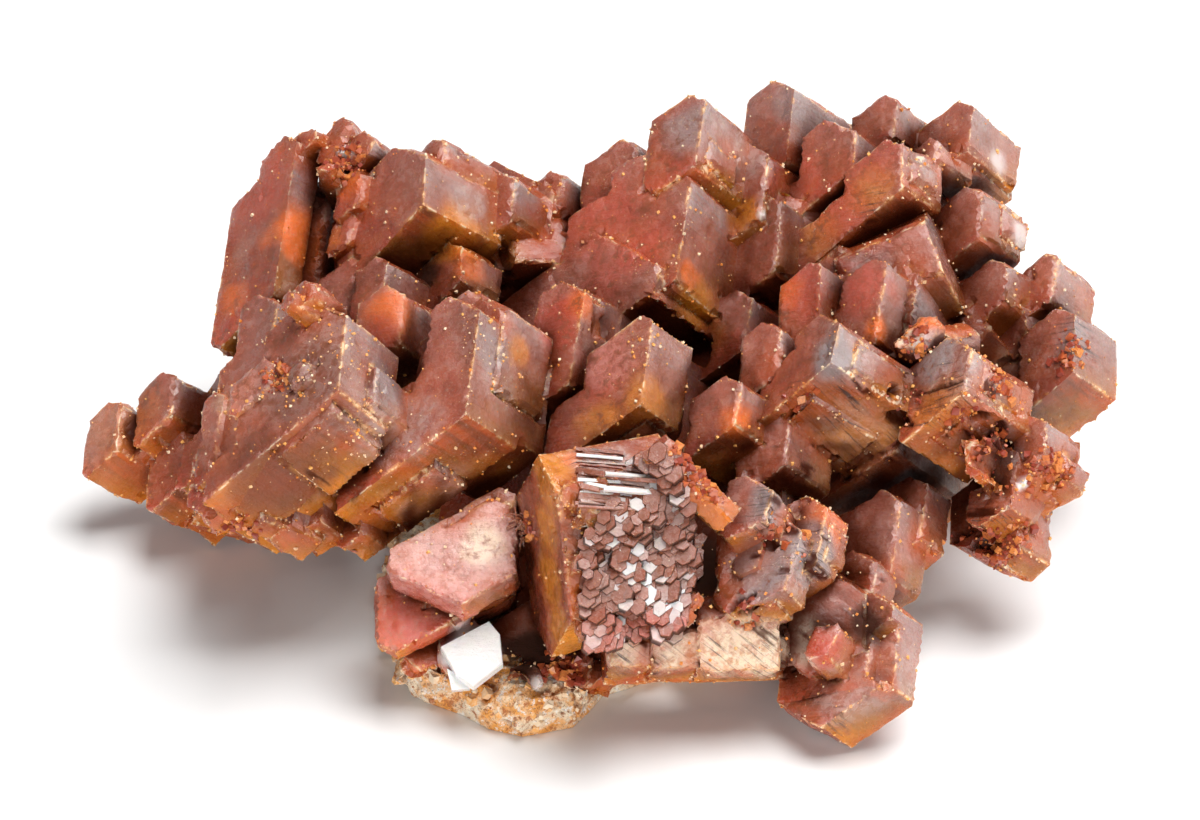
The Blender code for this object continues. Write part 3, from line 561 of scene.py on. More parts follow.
def crystal_material():
    tree = Tree("crystal")
    cloud = tree.noise(0.22, 3, 0.5, 0.4)
    blotch = tree.noise(0.55, 5, 0.6, 0.5)
    mottle = tree.noise(2.6, 7, 0.66, 0.3)
    fine = tree.noise(14.0, 5, 0.75)
    lines = tree.noise(1.0, 5, 0.65, 0.2, tree.stretched("grain", 0.45, 8.0))
    body = face_colours(tree, cloud, blotch, mottle, lines)
    # Painted glow: orange where the crystal is thin and open to the sky, as if light shone through it.
    body = tree.blend(tree.times(tree.value("thin"), 0.75), body, GLOW)
    for name, (tint, strength, low, high) in ACCENT_TINTS.items():
        patch = tree.times(tree.value(name), tree.between(mottle, low, high, 0.35, 1.0))
        body = tree.blend(tree.times(patch, strength), body, tint)
    body = lines_and_specks(tree, body, cloud, mottle, fine, lines)
    body = edges_and_nooks(tree, body, cloud, blotch, mottle)
    # Painted glint: white in the colour of the glossy facets, shining scales and sheets.
    body = tree.blend(tree.value("gloss_and_painted_glint"), body, WHITE)
    chosen = tree.between(tree.noise(0.9, 4, 0.65), 0.48, 0.66)
    dusty = tree.maths("MAXIMUM", tree.value("dust"), 0.55)
    dots = 0.0
    for per_mm, share, tint in DUST_SPOTS:
        spots = tree.times(tree.times(tree.spots(per_mm, share), chosen), dusty)
        body = tree.blend(spots, body, tint)
        dots = tree.maths("MAXIMUM", dots, spots)
    # Painted shade: the colour turns near-black brown where a point sees little sky, in the crevices
    # between crystals.
    shade = tree.between(tree.value("open"), 0.15, 0.84, 0.03, 1.0)
    body = tree.blend(tree.maths("SUBTRACT", 1.0, shade), body, CREVICE_SHADE)
    # Painted shade: dark brown in gaps, holes and cavities between crystals, and on the lower rims of
    # the scales.
    body = tree.blend(tree.value("dark"), body, DARK)
    rough = tree.between(mottle, 0.3, 0.7, 0.08, 0.42)
    rough = tree.maths("ADD", rough, tree.times(dots, 0.5), clamp=True)
    rough = tree.less(rough, tree.times(tree.value("gloss_and_painted_glint"), 0.3))
    rough = tree.less(rough, tree.times(tree.value("steel"), 0.12))
    gloss = tree.between(tree.value("lower_side"), 0.0, 1.0, 0.5, 0.22)
    gloss = tree.times(gloss, tree.between(shade, 0.0, 0.8, 0.1, 1.0))
    gloss = tree.times(gloss, tree.less(1.0, tree.value("dark")))
    normal = None
    for height, depth_mm, strength in ((blotch, 0.10, 0.7), (mottle, 0.07, 0.8),
                                       (lines, 0.045, 0.55), (fine, 0.018, 0.9)):
        normal = tree.bump(height, depth_mm, strength, normal)
    return tree.shade({"Base Color": body, "Roughness": rough, "Specular IOR Level": gloss,
                       "IOR": 1.8, "Subsurface Weight": 0.2, "Subsurface Scale": 0.0008,
                       "Subsurface Radius": (1.0, 0.22, 0.06), "Normal": normal})

def matrix_material():
    tree = Tree("matrix")
    blotch = tree.noise(0.55, 5, 0.6, 0.5)
    mottle = tree.noise(3.0, 7, 0.7)
    fine = tree.noise(14.0, 4, 0.7)
    body = tree.blend(tree.between(blotch, 0.42, 0.60), CREAM, OCHRE)
    body = tree.blend(tree.between(mottle, 0.53, 0.62, 0, 0.9), body, RUST)
    body = tree.blend(tree.between(mottle, 0.40, 0.46, 0.7, 0), body, WHITE)
    body = tree.blend(tree.between(fine, 0.46, 0.36, 0, 0.7), body, SOOT)
    body = tree.blend(tree.between(tree.value("lift"), -0.26, -0.10, 0.6, 0.0), body, BROWN)
    normal = tree.bump(fine, 0.03, 0.8, tree.bump(mottle, 0.14, 0.9))
    return tree.shade({"Base Color": body, "Roughness": 0.7, "Normal": normal})

def floor_material():
    tree = Tree("floor")
    body = tree.blend(tree.noise(0.02, 2), FLOOR_GREY, FLOOR_WHITE)
    return tree.shade({"Base Color": body, "Roughness": 0.9})

# The mosaic of scales, by pixels of the photograph: its rows from top to bottom, and its sides.
MOSAIC_TOP = 466
MOSAIC_BOTTOM = 644
MOSAIC_SAG = -16
MOSAIC_ROWS = 23
MOSAIC_STEP = 8.0
MOSAIC_FACING = (0.30, -0.85, 0.44)
MOSAIC_SKYWARD = (0.02, -0.36, 0.93)
MOSAIC_LEFTWARD = (-0.42, -0.30, 0.86)
# A scale's least and greatest side, and its top and bottom in mm and the share that is bevelled.
SCALE_SIDE = (0.24, 0.42)
SCALE_FORM = (0.06, -0.30, 0.08)

def mosaic_left(down):
    return 634 - 54 * min(1, down * 2.4) + 8 * down

def mosaic_right(down):
    return 664 + 38 * min(1, down * 2.4) - 24 * max(0, down - 0.6) / 0.4

# The grey ridges above the mosaic: the thin edges of sheets, in rows by pixels.
SHEET_ROWS = 20
SHEETS_LEFT = 574
SHEETS_RIGHT = 642
SHEETS_TOP = 449
SHEETS_BOTTOM = 506
SHEETS_FACING = (-0.2, -0.55, 0.8)
SHEETS_OUTWARD = (0.1, -0.6, 0.5)
SHEET_FORM = (0.05, -0.10, 0.2)

# Two bright facets low on the left, their brightness a painted reflection: corners by pixels, how far
# they lean up, and their lift in mm.
FACETS = [([(441, 646), (489, 621), (500, 634), (503, 662), (474, 684), (456, 672)], 0.5, 0.45),
          ([(447, 668), (458, 674), (470, 688), (452, 690)], 0.2, 0.35)]

# The felt of fibres on the left edge of the stepped block.
FIBRES_AT = (524, 530)
FIBRE_COUNT = 110

# Places in the photograph: pixel, reach in mm, strength.
ACCENTS = {
    # glow: places of painted orange glow.
    "glow": [
        (390, 315, 1.3, 0.8), (405, 680, 0.8, 1), (925, 335, 1.3, 1), (300, 235, 1.5, 0.9),
        (350, 185, 0.8, 0.7), (785, 290, 0.9, 0.9), (470, 262, 1.1, 0.6), (575, 460, 0.5, 0.8),
        (880, 330, 0.8, 0.9), (835, 520, 1.2, 0.6), (585, 302, 1, 0.7), (905, 345, 0.9, 1),
        (740, 425, 1.1, 0.7), (690, 272, 0.7, 0.6), (235, 300, 0.9, 0.5)],
    "gold": [
        (455, 235, 1.5, 0.9), (500, 250, 1.2, 0.7), (480, 480, 1.8, 0.7), (420, 520, 2.2, 0.8),
        (690, 320, 1.6, 0.8), (650, 400, 1.4, 0.7), (820, 235, 1.2, 0.6), (745, 215, 0.9, 0.9),
        (545, 480, 1.6, 1), (545, 530, 1.4, 1), (550, 580, 1.5, 1), (560, 630, 1.6, 1),
        (850, 450, 2, 0.6), (940, 410, 1.6, 0.5), (600, 425, 1.4, 0.7), (110, 420, 2.4, 0.3),
        (330, 240, 0.7, 0.8), (520, 350, 0.8, 0.7), (870, 190, 1.2, 0.5)],
    "red": [
        (550, 330, 1.6, 0.9), (380, 335, 1, 0.8), (600, 290, 1.4, 0.5), (800, 290, 1.4, 0.7),
        (860, 290, 1.4, 0.8), (435, 615, 2.4, 1), (820, 655, 1.4, 0.9), (640, 250, 1.5, 0.6),
        (790, 180, 1.8, 0.7), (630, 635, 1.2, 0.9), (740, 350, 1.4, 0.7), (630, 683, 0.7, 1),
        (665, 686, 0.7, 1), (700, 686, 0.7, 1), (740, 684, 0.7, 1), (255, 190, 2.4, 0.6),
        (340, 220, 2, 0.5), (590, 220, 2.6, 0.6), (600, 370, 1.8, 0.6), (870, 155, 1.6, 0.5),
        (700, 345, 1.4, 0.6), (840, 210, 1.8, 0.6), (650, 645, 1, 0.8), (600, 640, 0.8, 0.8)],
    "pink": [
        (455, 545, 3, 0.9), (465, 290, 0.7, 0.6), (250, 380, 1.8, 0.5), (740, 355, 1, 0.3),
        (900, 540, 1.4, 0.5), (610, 360, 1.4, 0.4), (220, 430, 1.6, 0.2), (90, 430, 2, 0.35)],
    "cream": [
        (480, 545, 1, 0.8), (625, 652, 1, 0.8), (665, 655, 1.2, 0.9), (700, 650, 1.4, 0.9),
        (770, 655, 1.6, 0.9), (800, 640, 1.2, 0.7), (740, 645, 1.4, 0.9), (910, 340, 0.7, 0.9),
        (1010, 365, 0.8, 0.6), (225, 400, 0.6, 0.5)],
    # grey: places of painted pale grey sheen.
    "grey": [
        (310, 375, 2.6, 0.65), (340, 400, 2, 0.6), (385, 420, 2, 0.9), (850, 440, 2.2, 0.35),
        (745, 155, 1.2, 0.9), (935, 170, 1.4, 0.8), (770, 100, 1.2, 0.2), (500, 380, 1.4, 0.4),
        (860, 350, 1.6, 0.5), (1005, 445, 1, 0.7), (775, 510, 1.5, 0.6), (610, 465, 1.6, 0.8),
        (850, 690, 1.8, 0.6), (470, 200, 1.2, 0.7), (980, 380, 1.6, 0.5), (940, 360, 1.2, 0.7),
        (720, 130, 1, 0.7), (910, 670, 1.4, 0.6), (800, 570, 1.6, 0.7)],
    # dark: painted shade, mostly in gaps, holes and cavities between the crystals.
    "dark": [
        (430, 275, 0.6, 0.9), (505, 275, 0.6, 0.9), (715, 570, 1.6, 1), (325, 200, 0.8, 0.6),
        (530, 655, 1.6, 1), (275, 480, 2.6, 0.3), (300, 385, 2.2, 0.22), (210, 460, 1.6, 0.25),
        (490, 330, 1.6, 0.15), (330, 430, 1.6, 0.2), (570, 690, 1, 0.9), (930, 482, 0.9, 0.9),
        (865, 625, 0.9, 0.9), (1000, 470, 1.2, 0.6), (990, 545, 1, 0.5)],
    # mirror: glossy places that get white painted into their colour as a glint.
    "gloss_and_painted_glint": [
        (475, 650, 1.3, 1), (455, 655, 0.7, 1), (345, 150, 0.4, 0.8), (1022, 484, 0.3, 1),
        (762, 215, 0.25, 0.9), (1000, 160, 0.6, 0.4), (540, 682, 0.5, 0.7), (1020, 235, 0.7, 0.5)],
    # steel: places of painted steel-grey sheen.
    "steel": [
        (775, 505, 1.3, 1), (810, 550, 1.4, 1), (760, 570, 1.4, 0.9), (835, 355, 1.4, 1),
        (935, 350, 1.4, 0.9), (690, 130, 1.3, 0.7), (390, 380, 1.2, 0.7), (1005, 445, 1, 0.8),
        (1075, 340, 1.2, 0.6), (490, 350, 1, 0.5), (790, 100, 1.2, 0.5)],
    "dust": [
        (300, 370, 2, 1), (350, 450, 2, 0.9), (465, 470, 2, 0.9), (510, 380, 1.6, 0.9),
        (640, 340, 1.6, 0.7), (700, 560, 1, 0.9), (620, 530, 2.5, 0.6), (480, 340, 1.2, 0.9),
        (700, 480, 1.2, 0.9), (685, 230, 1, 0.8), (1000, 380, 1.4, 0.8), (330, 470, 2, 0.3),
        (350, 350, 1.6, 0.8), (800, 520, 1.8, 0.7)],
    "striated": [
        (830, 420, 2.2, 1), (870, 460, 2, 1), (940, 400, 1.8, 1), (980, 410, 1.4, 1), (605, 465, 1.4, 1),
        (620, 480, 1.2, 1), (870, 210, 1.2, 0.7), (770, 655, 2, 0.7), (870, 600, 1.6, 0.6),
        (820, 720, 1.6, 0.6), (1080, 340, 1.6, 0.8), (990, 530, 1.6, 0.8), (330, 480, 1.6, 0.3),
        (775, 510, 1.8, 0.9), (810, 560, 1.6, 0.9), (640, 655, 1.4, 0.9), (700, 655, 1.4, 0.9)],
    "crumbly": [
        (278, 375, 0.8, 0.6), (1050, 470, 1.2, 0.6), (1000, 380, 0.8, 0.6), (700, 470, 1.4, 0.7),
        (530, 530, 0.7, 0.8), (1070, 350, 1, 0.5), (345, 160, 0.9, 0.5), (560, 670, 0.9, 0.9),
        (1000, 550, 1.2, 0.5), (920, 340, 0.8, 0.6), (240, 530, 0.8, 0.4), (440, 690, 1.2, 0.7)],
    "hollow": [
        (775, 530, 0.9, 1), (800, 545, 0.7, 1), (985, 450, 1.4, 1), (975, 545, 1.2, 0.9),
        (905, 405, 1, 0.8), (955, 420, 1, 0.9), (800, 395, 0.8, 0.6), (1040, 480, 1, 0.8),
        (745, 615, 0.8, 0.7)],
    "scales": [
        (640, 560, 3.4, 1), (270, 475, 2.8, 0.7), (300, 385, 2.8, 0.55), (220, 460, 2, 0.6)],
}

def accent_weights(points, trees):
    """For each kind of accent, how strongly it shows at each point."""
    weights = {}
    for kind, spots in ACCENTS.items():
        total = np.zeros(len(points))
        for pixel_x, pixel_y, reach, strength in spots:
            found = seen_at(trees, pixel_x, pixel_y)
            if found:
                distance = np.linalg.norm(points - np.array(found[0]), axis=1)
                wobble = 1 + 0.3 * lattice_noise(points, 0.7, 41)
                near = smooth_step(1.15 * reach, 0.5 * reach, distance * wobble)
                total = np.maximum(total, strength * near)
        weights[kind] = total
    return weights

def crystal_attributes(mesh, points, triangles, facing, face_of, accents, details, seed):
    """What the crystal material reads: how each face lies, and what grows or lies at each point."""
    rng = np.random.default_rng(seed)
    for name, direction, low, high in (("flat_end", GROWTH, 0.75, 0.93),
                                       ("right_side", RIGHT_SIDE, 0.7, 0.93),
                                       ("lower_side", LOWER_SIDE, 0.6, 0.9)):
        share = smooth_step(low, high, facing @ np.array(direction))
        add_attribute(mesh, name, share[face_of], "FACE")
    add_attribute(mesh, "tone", rng.uniform(0, 1, len(facing))[face_of], "FACE")
    for name, values in {**details, **accents}.items():
        add_attribute(mesh, name, values)
    axes = np.array([Surface.grain(Vector(normal)) for normal in facing])
    along = axes[face_of]
    across = np.cross(facing[face_of], along)
    corners = points[triangles]
    offset = rng.uniform(0, 50, len(facing))[face_of]
    u = (corners * along[:, None, :]).sum(2) + offset[:, None]
    v = (corners * across[:, None, :]).sum(2) + offset[:, None]
    shares = []
    for direction in ((1, 0, 0), (0, math.sin(VIEW_TILT), math.cos(VIEW_TILT))):
        level = corners @ np.array(direction)
        lowest = np.full(len(facing), 1e9)
        highest = np.full(len(facing), -1e9)
        np.minimum.at(lowest, face_of, level.min(1))
        np.maximum.at(highest, face_of, level.max(1))
        span = np.maximum(highest - lowest, 1e-6)
        share = (level - lowest[face_of][:, None]) / span[face_of][:, None]
        shares.append(share if len(facing) < len(triangles) else np.full(share.shape, 0.5))
    for name, flat in (("reach", shares), ("grain", (u, v))):
        layer = mesh.uv_layers.new(name=name)
        layer.data.foreach_set("uv", np.stack(flat, axis=2).astype(np.float32).ravel())

# The relief of the crystal faces, in mm, and how many steps there are.
STEP_LEVELS = 4
STEP_HEIGHT = 0.15
PIT_DEPTH = 0.07
GROOVE_DEPTH = 0.13
DEEP_GROOVE = 0.16
HOLLOW_DEPTH = 0.75
CRUMB_HEIGHT = 0.22

def crystal_surface(trees, material):
    surface = Surface("vanadinite_crystals", spacing_on_crystals)
    points, normal = surface.points, surface.normal
    thickness, openness = depth_and_openness(surface)
    accents = accent_weights(points, trees)
    owner = np.zeros(len(points), dtype=int)
    small = np.zeros(len(points))
    small_face = smooth_step(9.0, 1.2, surface.face_area)
    for corner in range(3):
        owner[surface.triangles[:, corner]] = surface.face_of
        np.maximum.at(small, surface.triangles[:, corner], small_face[surface.face_of])
    away = smooth_step(0, 0.5, np.minimum(surface.ridge, surface.valley))
    swell = (0.05 + 0.10 * small) * layered_noise(points, 1.6, 3, 11)
    steps = np.floor(STEP_LEVELS * layered_noise(points, 1.7, 3, 23)) / STEP_LEVELS
    steps = steps * STEP_HEIGHT * away
    chips = np.clip(layered_noise(points, 0.8, 3, 31), 0, 1)
    radius = 0.10 + 0.75 * small * (0.35 + chips) + 0.55 * chips ** 2 + 0.5 * accents["crumbly"]
    radius = radius * (1 - 0.85 * np.maximum(accents["gloss_and_painted_glint"], accents["steel"]))
    worn = 0.42 * radius * np.clip(1 - surface.ridge / radius, 0, 1) ** 2
    pits = PIT_DEPTH * smooth_step(0.35, 0.7, layered_noise(points, 0.6, 3, 53)) * away
    axis = surface.face_axis[owner]
    across = np.cross(surface.face_normal[owner], axis)
    lined = np.stack(((points * axis).sum(1) / 7, (points * across).sum(1), owner * 3.7), axis=1)
    groove = layered_noise(lined, 0.42, 3, 61)
    sides = 0.12 + 0.1 * (np.abs(surface.face_normal[owner] @ np.array(GROWTH)) < 0.4)
    striation = (sides + accents["striated"]) * groove * smooth_step(0.0, 0.3, surface.valley)
    deep = accents["striated"] * smooth_step(0.25, 0.6, groove)
    hollow = accents["hollow"] * smooth_step(0.0, 0.45, layered_noise(points, 0.9, 3, 83))
    crumbs = accents["crumbly"] * layered_noise(points, 0.5, 3, 91)
    relief = (swell + steps - worn - pits + GROOVE_DEPTH * striation - DEEP_GROOVE * deep
              - HOLLOW_DEPTH * hollow + CRUMB_HEIGHT * crumbs)
    shaped = points + normal * relief[:, None]
    mesh = new_mesh("crystal_surface", shaped, surface.triangles)
    hollowed = smooth_step(0.0, 0.3, deep + hollow)
    # open is the share of sky a point sees, cut further in grooves and hollows; the material paints
    # shade from it, and a glow from thin.
    details = {"ridge": surface.ridge, "valley": surface.valley,
               "thin": np.exp(-thickness / 1.3) * openness,
               "open": openness * (1 - 0.7 * hollowed)}
    crystal_attributes(mesh, points, surface.triangles, surface.face_normal, surface.face_of,
                       accents, details, 3)
    mesh.shade_smooth()
    mesh.set_sharp_from_angle(angle=math.radians(20))
    piece = new_piece("crystal_surface", mesh, material)
    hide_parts("vanadinite_crystals")
    surface.shaped = shaped
    surface.accents = accents
    surface.openness = openness
    return surface

# Thin plates

def flat_plate(outline, normal, top, bottom, bevel):
    """A thin closed plate with a bevelled upper rim, as points and triangles."""
    outline = np.asarray(outline)
    middle = outline.mean(0)
    count = len(outline)
    upper = middle + (outline - middle) * (1 - bevel)
    shoulder = outline + normal * (top - 0.35 * (top - bottom) * 0.5)
    points = np.concatenate((outline + normal * bottom, shoulder, upper + normal * top))
    triangles = []
    for ring in (0, count):
        for corner in range(count):
            following = (corner + 1) % count
            a, b = ring + corner, ring + following
            triangles += [(a, b, b + count), (a, b + count, a + count)]
    for corner in range(1, count - 1):
        triangles.append((2 * count, 2 * count + corner, 2 * count + corner + 1))
        triangles.append((0, corner + 1, corner))
    return points, np.array(triangles)

def join_shapes(shapes):
    """Several closed shapes as one list of points and one of triangles."""
    points, triangles = [], []
    begin = 0
    for shape_points, shape_triangles in shapes:
        points.append(shape_points)
        triangles.append(shape_triangles + begin)
        begin += len(shape_points)
    return np.concatenate(points), np.concatenate(triangles)

def crystal_piece(name, shapes, trees, material, seed, thin, extra):
    """A piece of many small closed shapes in the crystals' material.

    thin says how much painted orange glow they get, as of light shining through them; extra sets accents
    for all or for each point.
    """
    points, triangles = join_shapes(shapes)
    facing = triangle_normals(points[triangles])
    facing /= np.maximum(np.linalg.norm(facing, axis=1), 1e-12)[:, None]
    mesh = new_mesh(name, points, triangles)
    accents = accent_weights(points, trees)
    for kind, value in extra.items():
        accents[kind] = np.full(len(points), value)
    details = {"ridge": 0.4, "valley": 2.0, "thin": thin, "open": 1.0}
    details = {kind: np.full(len(points), value) for kind, value in details.items()}
    crystal_attributes(mesh, points, triangles, facing, np.arange(len(triangles)), accents,
                       details, seed)
    mesh.shade_flat()
    return new_piece(name, mesh, material)

def mosaic_scales(trees, material):
    """The front of the stepped block: thin six-sided scales in terraces, like roof shingles.

    Each scale tips back towards the sky, so its lower rim stands out and its flat top shines. The
    shining ones also get a painted white glint in their colour, and each scale's lower rim gets painted
    shade.
    """
    rng = random.Random(12)

    def jitter(most):
        return rng.uniform(-most, most)

    facing = Vector(MOSAIC_FACING).normalized()
    skyward = Vector(MOSAIC_SKYWARD).normalized()
    leftward = Vector(MOSAIC_LEFTWARD).normalized()
    shapes = []
    shine = []
    shadow = []
    warm = []
    for row in range(MOSAIC_ROWS):
        down = row / (MOSAIC_ROWS - 1)
        pixel_y = MOSAIC_TOP + (MOSAIC_BOTTOM - MOSAIC_TOP) * down
        left, right = mosaic_left(down), mosaic_right(down)
        count = max(3, round((right - left) / MOSAIC_STEP))
        for place in range(count):
            pixel_x = left + (right - left) * (place + 0.5 * (row % 2)) / count + jitter(2)
            across = (pixel_x - left) / (right - left)
            found = seen_at(trees, pixel_x, pixel_y + jitter(3) + MOSAIC_SAG * across)
            if not found:
                continue
            spot = np.array([tuple(found[0])])
            terrace = math.floor(2.6 * lattice_noise(spot, 1.3, 77)[0] + 1.4 * down) / 2.6
            tip = 0.58 + 0.30 * lattice_noise(spot, 0.9, 78)[0] + jitter(0.12)
            shining = rng.random() < 0.16 + 0.55 * down * (0.35 + across)
            normal = facing.lerp(skyward if shining else leftward, min(1, max(0.1, tip)))
            normal = (normal + Vector([jitter(0.10) for _ in range(3)])).normalized()
            first = normal.cross(Vector(GROWTH)).normalized()
            second = normal.cross(first)
            side = rng.uniform(*SCALE_SIDE)
            turn = jitter(0.15) + 0.3
            stretch = rng.uniform(0.8, 1.35)
            middle = found[0] + facing * (0.10 + 0.42 * terrace + rng.uniform(0.0, 0.06))
            outline = [middle + side * (math.cos(turn + corner * math.pi / 3) * first * stretch
                                        + math.sin(turn + corner * math.pi / 3) * second)
                       for corner in range(6)]
            points, triangles = flat_plate(outline, np.array(normal), *SCALE_FORM)
            shapes.append((points, triangles))
            # Painted glint on the shining scales, painted shade on each scale's lower rim and shoulder.
            shine.append(np.full(len(points), (0.80 if shining else 0.08) * rng.random() ** 2.2))
            shadow.append(np.repeat((1.0, 0.75, 0.0), 6))
            warm.append(np.full(len(points), smooth_step(0.70, 1.0, down) * rng.uniform(0.4, 1.0)))
    crystal_piece("mosaic_scales", shapes, trees, material, 17, 0.1,
                  {"scales": 0.9 - 0.8 * np.concatenate(warm), "red": np.concatenate(warm),
                   "gloss_and_painted_glint": np.concatenate(shine), "dark": np.concatenate(shadow)})

def stacked_sheets(trees, material):
    """The grey ridges above the scales: the thin edges of sheets that lie on each other."""
    rng = random.Random(14)
    shapes = []
    shine = []
    for row in range(SHEET_ROWS):
        down = row / (SHEET_ROWS - 1)
        pixel_x = SHEETS_LEFT + rng.uniform(0, 10)
        while pixel_x < SHEETS_RIGHT - 22 * down:
            length = rng.uniform(20, 60)
            pixel_y = SHEETS_TOP + (SHEETS_BOTTOM - SHEETS_TOP) * down
            pixel_y += 0.12 * (pixel_x - SHEETS_LEFT)
            ends = [seen_at(trees, pixel_x, pixel_y), seen_at(trees, pixel_x + length, pixel_y + 4)]
            pixel_x += length + rng.uniform(0, 6)
            if not all(ends):
                continue
            along = ends[1][0] - ends[0][0]
            if along.length > 1.3 * length / PIXELS_PER_MM:
                continue
            normal = Vector(SHEETS_FACING) + Vector([rng.uniform(-0.2, 0.2) for _ in range(3)])
            across = normal.cross(along).normalized()
            normal = along.cross(across).normalized()
            if normal.z < 0:
                normal = -normal
            lift = Vector(SHEETS_OUTWARD) * rng.uniform(0.02, 0.34)
            width = rng.uniform(0.03, 0.11)
            outline = [ends[0][0] + lift - across * width, ends[1][0] + lift - across * width,
                       ends[1][0] + lift + across * width, ends[0][0] + lift + across * width]
            points, triangles = flat_plate(outline, np.array(normal), *SHEET_FORM)
            shapes.append((points, triangles))
            # Painted glint: white in the colour of a few sheets, and a painted pale grey sheen on all of
            # them.
            shine.append(np.full(len(points), rng.random() ** 4))
    crystal_piece("stacked_sheets", shapes, trees, material, 19, 0.1,
                  {"grey": 0.35, "scales": 0.7, "gloss_and_painted_glint": np.concatenate(shine)})

def bright_facets(trees, material):
    """The bright flat facets of the crystal under the stepped block, on the left: glossy, with white
    painted into their colour as a reflection.
    """
    forward, right, up = sight_frame()
    back = -forward
    shapes = []
    for outline, lean, lift in FACETS:
        middle_x = sum(x for x, _ in outline) / len(outline)
        middle_y = sum(y for _, y in outline) / len(outline)
        found = seen_at(trees, middle_x, middle_y)
        normal = (back + lean * up).normalized()
        corners = []
        for x, y in outline:
            flat = right * (x - middle_x) / PIXELS_PER_MM + up * (middle_y - y) / PIXELS_PER_MM
            corners.append(found[0] + back * lift + flat - back * lean * flat.dot(up))
        shapes.append(flat_plate(corners, np.array(normal), 0.0, -0.5, 0.03))
    # Painted reflection: the facets are white in their colour.
    crystal_piece("bright_facets", shapes, trees, material, 21, 0.0,
                  {"gloss_and_painted_glint": 0.92, "dark": 0.0, "dust": 0.0})

def fibres(trees, material):
    """The felt of short fibres on the left edge of the stepped block."""
    rng = random.Random(16)
    found = seen_at(trees, *FIBRES_AT)
    shapes = []
    for _ in range(FIBRE_COUNT):
        root = Vector((rng.uniform(-0.35, 0.35), rng.uniform(-0.1, 0.2), rng.uniform(-0.6, 0.6)))
        root += found[0]
        along = Vector((rng.uniform(-1.0, 0.3), rng.uniform(-0.6, 0.1), rng.uniform(-0.8, 0.6)))
        along = along.normalized() * rng.uniform(0.2, 0.6)
        side = along.cross(Vector((0, 0, 1))).normalized() * rng.uniform(0.03, 0.07)
        outline = [root - side, root + side, root + along + side * 0.4, root + along - side * 0.4]
        normal = np.array(side.cross(along).normalized())
        shapes.append(flat_plate(outline, normal, 0.03, -0.03, 0.3))
    crystal_piece("fibres", shapes, trees, material, 20, 0.2,
                  {"grey": 0.2, "scales": 0.5, "dark": 0.0})

# Loose grains

# The grains: how many, their least and greatest size in mm, and the share of them that is sunk in.
DUST_GRAINS = (8500, (0.03, 0.11), 0.25)
CRUMBS = (1500, (0.07, 0.30), 0.45)
MATRIX_GRAINS = (1800, (0.06, 0.34), 0.35)

def rock(rng, size):
    """A small angular grain: a cube with its corners moved."""
    corners = np.array(list(itertools.product((-1, 1), repeat=3)), dtype=float)
    corners *= 1 + rng.uniform(-0.35, 0.35, corners.shape)
    angle = rng.uniform(0, 2 * math.pi, 3)
    turn = np.array(Matrix.Rotation(angle[0], 3, "X") @ Matrix.Rotation(angle[1], 3, "Y")
                    @ Matrix.Rotation(angle[2], 3, "Z"))
    faces = [(0, 1, 3, 2), (4, 6, 7, 5), (0, 4, 5, 1), (2, 3, 7, 6), (0, 2, 6, 4), (1, 5, 7, 3)]
    triangles = [(a, b, c) for a, b, c, _ in faces] + [(a, c, d) for a, _, c, d in faces]
    return corners @ turn * size / 2, np.array(triangles)

def grain_material(name, tints, roughness):
    tree = Tree(name)
    kind = tree.value("kind")
    body = tree.blend(tree.between(kind, 0.2, 0.45), tints[0], tints[1])
    body = tree.blend(tree.between(kind, 0.6, 0.85), body, tints[2])
    body = tree.blend(tree.between(tree.noise(9.0, 3), 0.4, 0.65, 0, 0.5), body, tints[0])
    normal = tree.bump(tree.noise(20.0, 3), 0.01, 0.6)
    return tree.shade({"Base Color": body, "Roughness": roughness, "Normal": normal})

def scatter_grains(name, surface, weight, grains, material, seed):
    """Angular grains on the surface, more of them where weight is larger."""
    count, sizes, sink = grains
    rng = np.random.default_rng(seed)
    corners = surface.shaped[surface.triangles]
    normals = triangle_normals(corners)
    area = np.linalg.norm(normals, axis=1) / 2
    share = area * weight[surface.triangles].mean(1)
    chosen = rng.choice(len(area), count, p=share / share.sum())
    shapes = []
    kinds = []
    for number in chosen:
        mix = rng.dirichlet((1, 1, 1))
        normal = normals[number] / max(2 * area[number], 1e-12)
        size = sizes[0] * (sizes[1] / sizes[0]) ** (rng.random() ** 1.8)
        points, triangles = rock(rng, size)
        place = mix @ corners[number] + normal * size * (0.5 - sink)
        shapes.append((points + place, triangles))
        kinds.append(np.full(len(points), rng.random()))
    points, triangles = join_shapes(shapes)
    mesh = new_mesh(name, points, triangles)
    add_attribute(mesh, "kind", np.concatenate(kinds))
    mesh.shade_flat()
    return new_piece(name, mesh, material)

def matrix_surface():
    surface = Surface("matrix_crust", lambda face: MATRIX_SPACING)
    points, normal = surface.points, surface.normal
    lift = np.clip(points[:, 2] / 0.4, 0, 1)
    crags = layered_noise(points, 1.7, 3, 71)
    lumps = (0.30 * crags - 0.34 * smooth_step(0.1, 0.6, layered_noise(points, 0.7, 3, 72))
             + 0.10 * lattice_noise(points, 0.22, 75)) * lift
    shaped = points + normal * lumps[:, None]
    shaped[:, 2] = np.maximum(shaped[:, 2], 0)
    mesh = new_mesh("matrix_surface", shaped, surface.triangles)
    add_attribute(mesh, "lift", lumps)
    mesh.shade_smooth()
    mesh.set_sharp_from_angle(angle=math.radians(28))
    piece = new_piece("matrix_surface", mesh, matrix_material())
    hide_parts("matrix_crust")
    surface.shaped = shaped
    return surface

# Floor and light

FLOOR_SIZE = 1.6
FLOOR_LEVEL = -0.00002
LIT_PLACE = (0, 0, 0.008)
WORLD_STRENGTH = 0.17
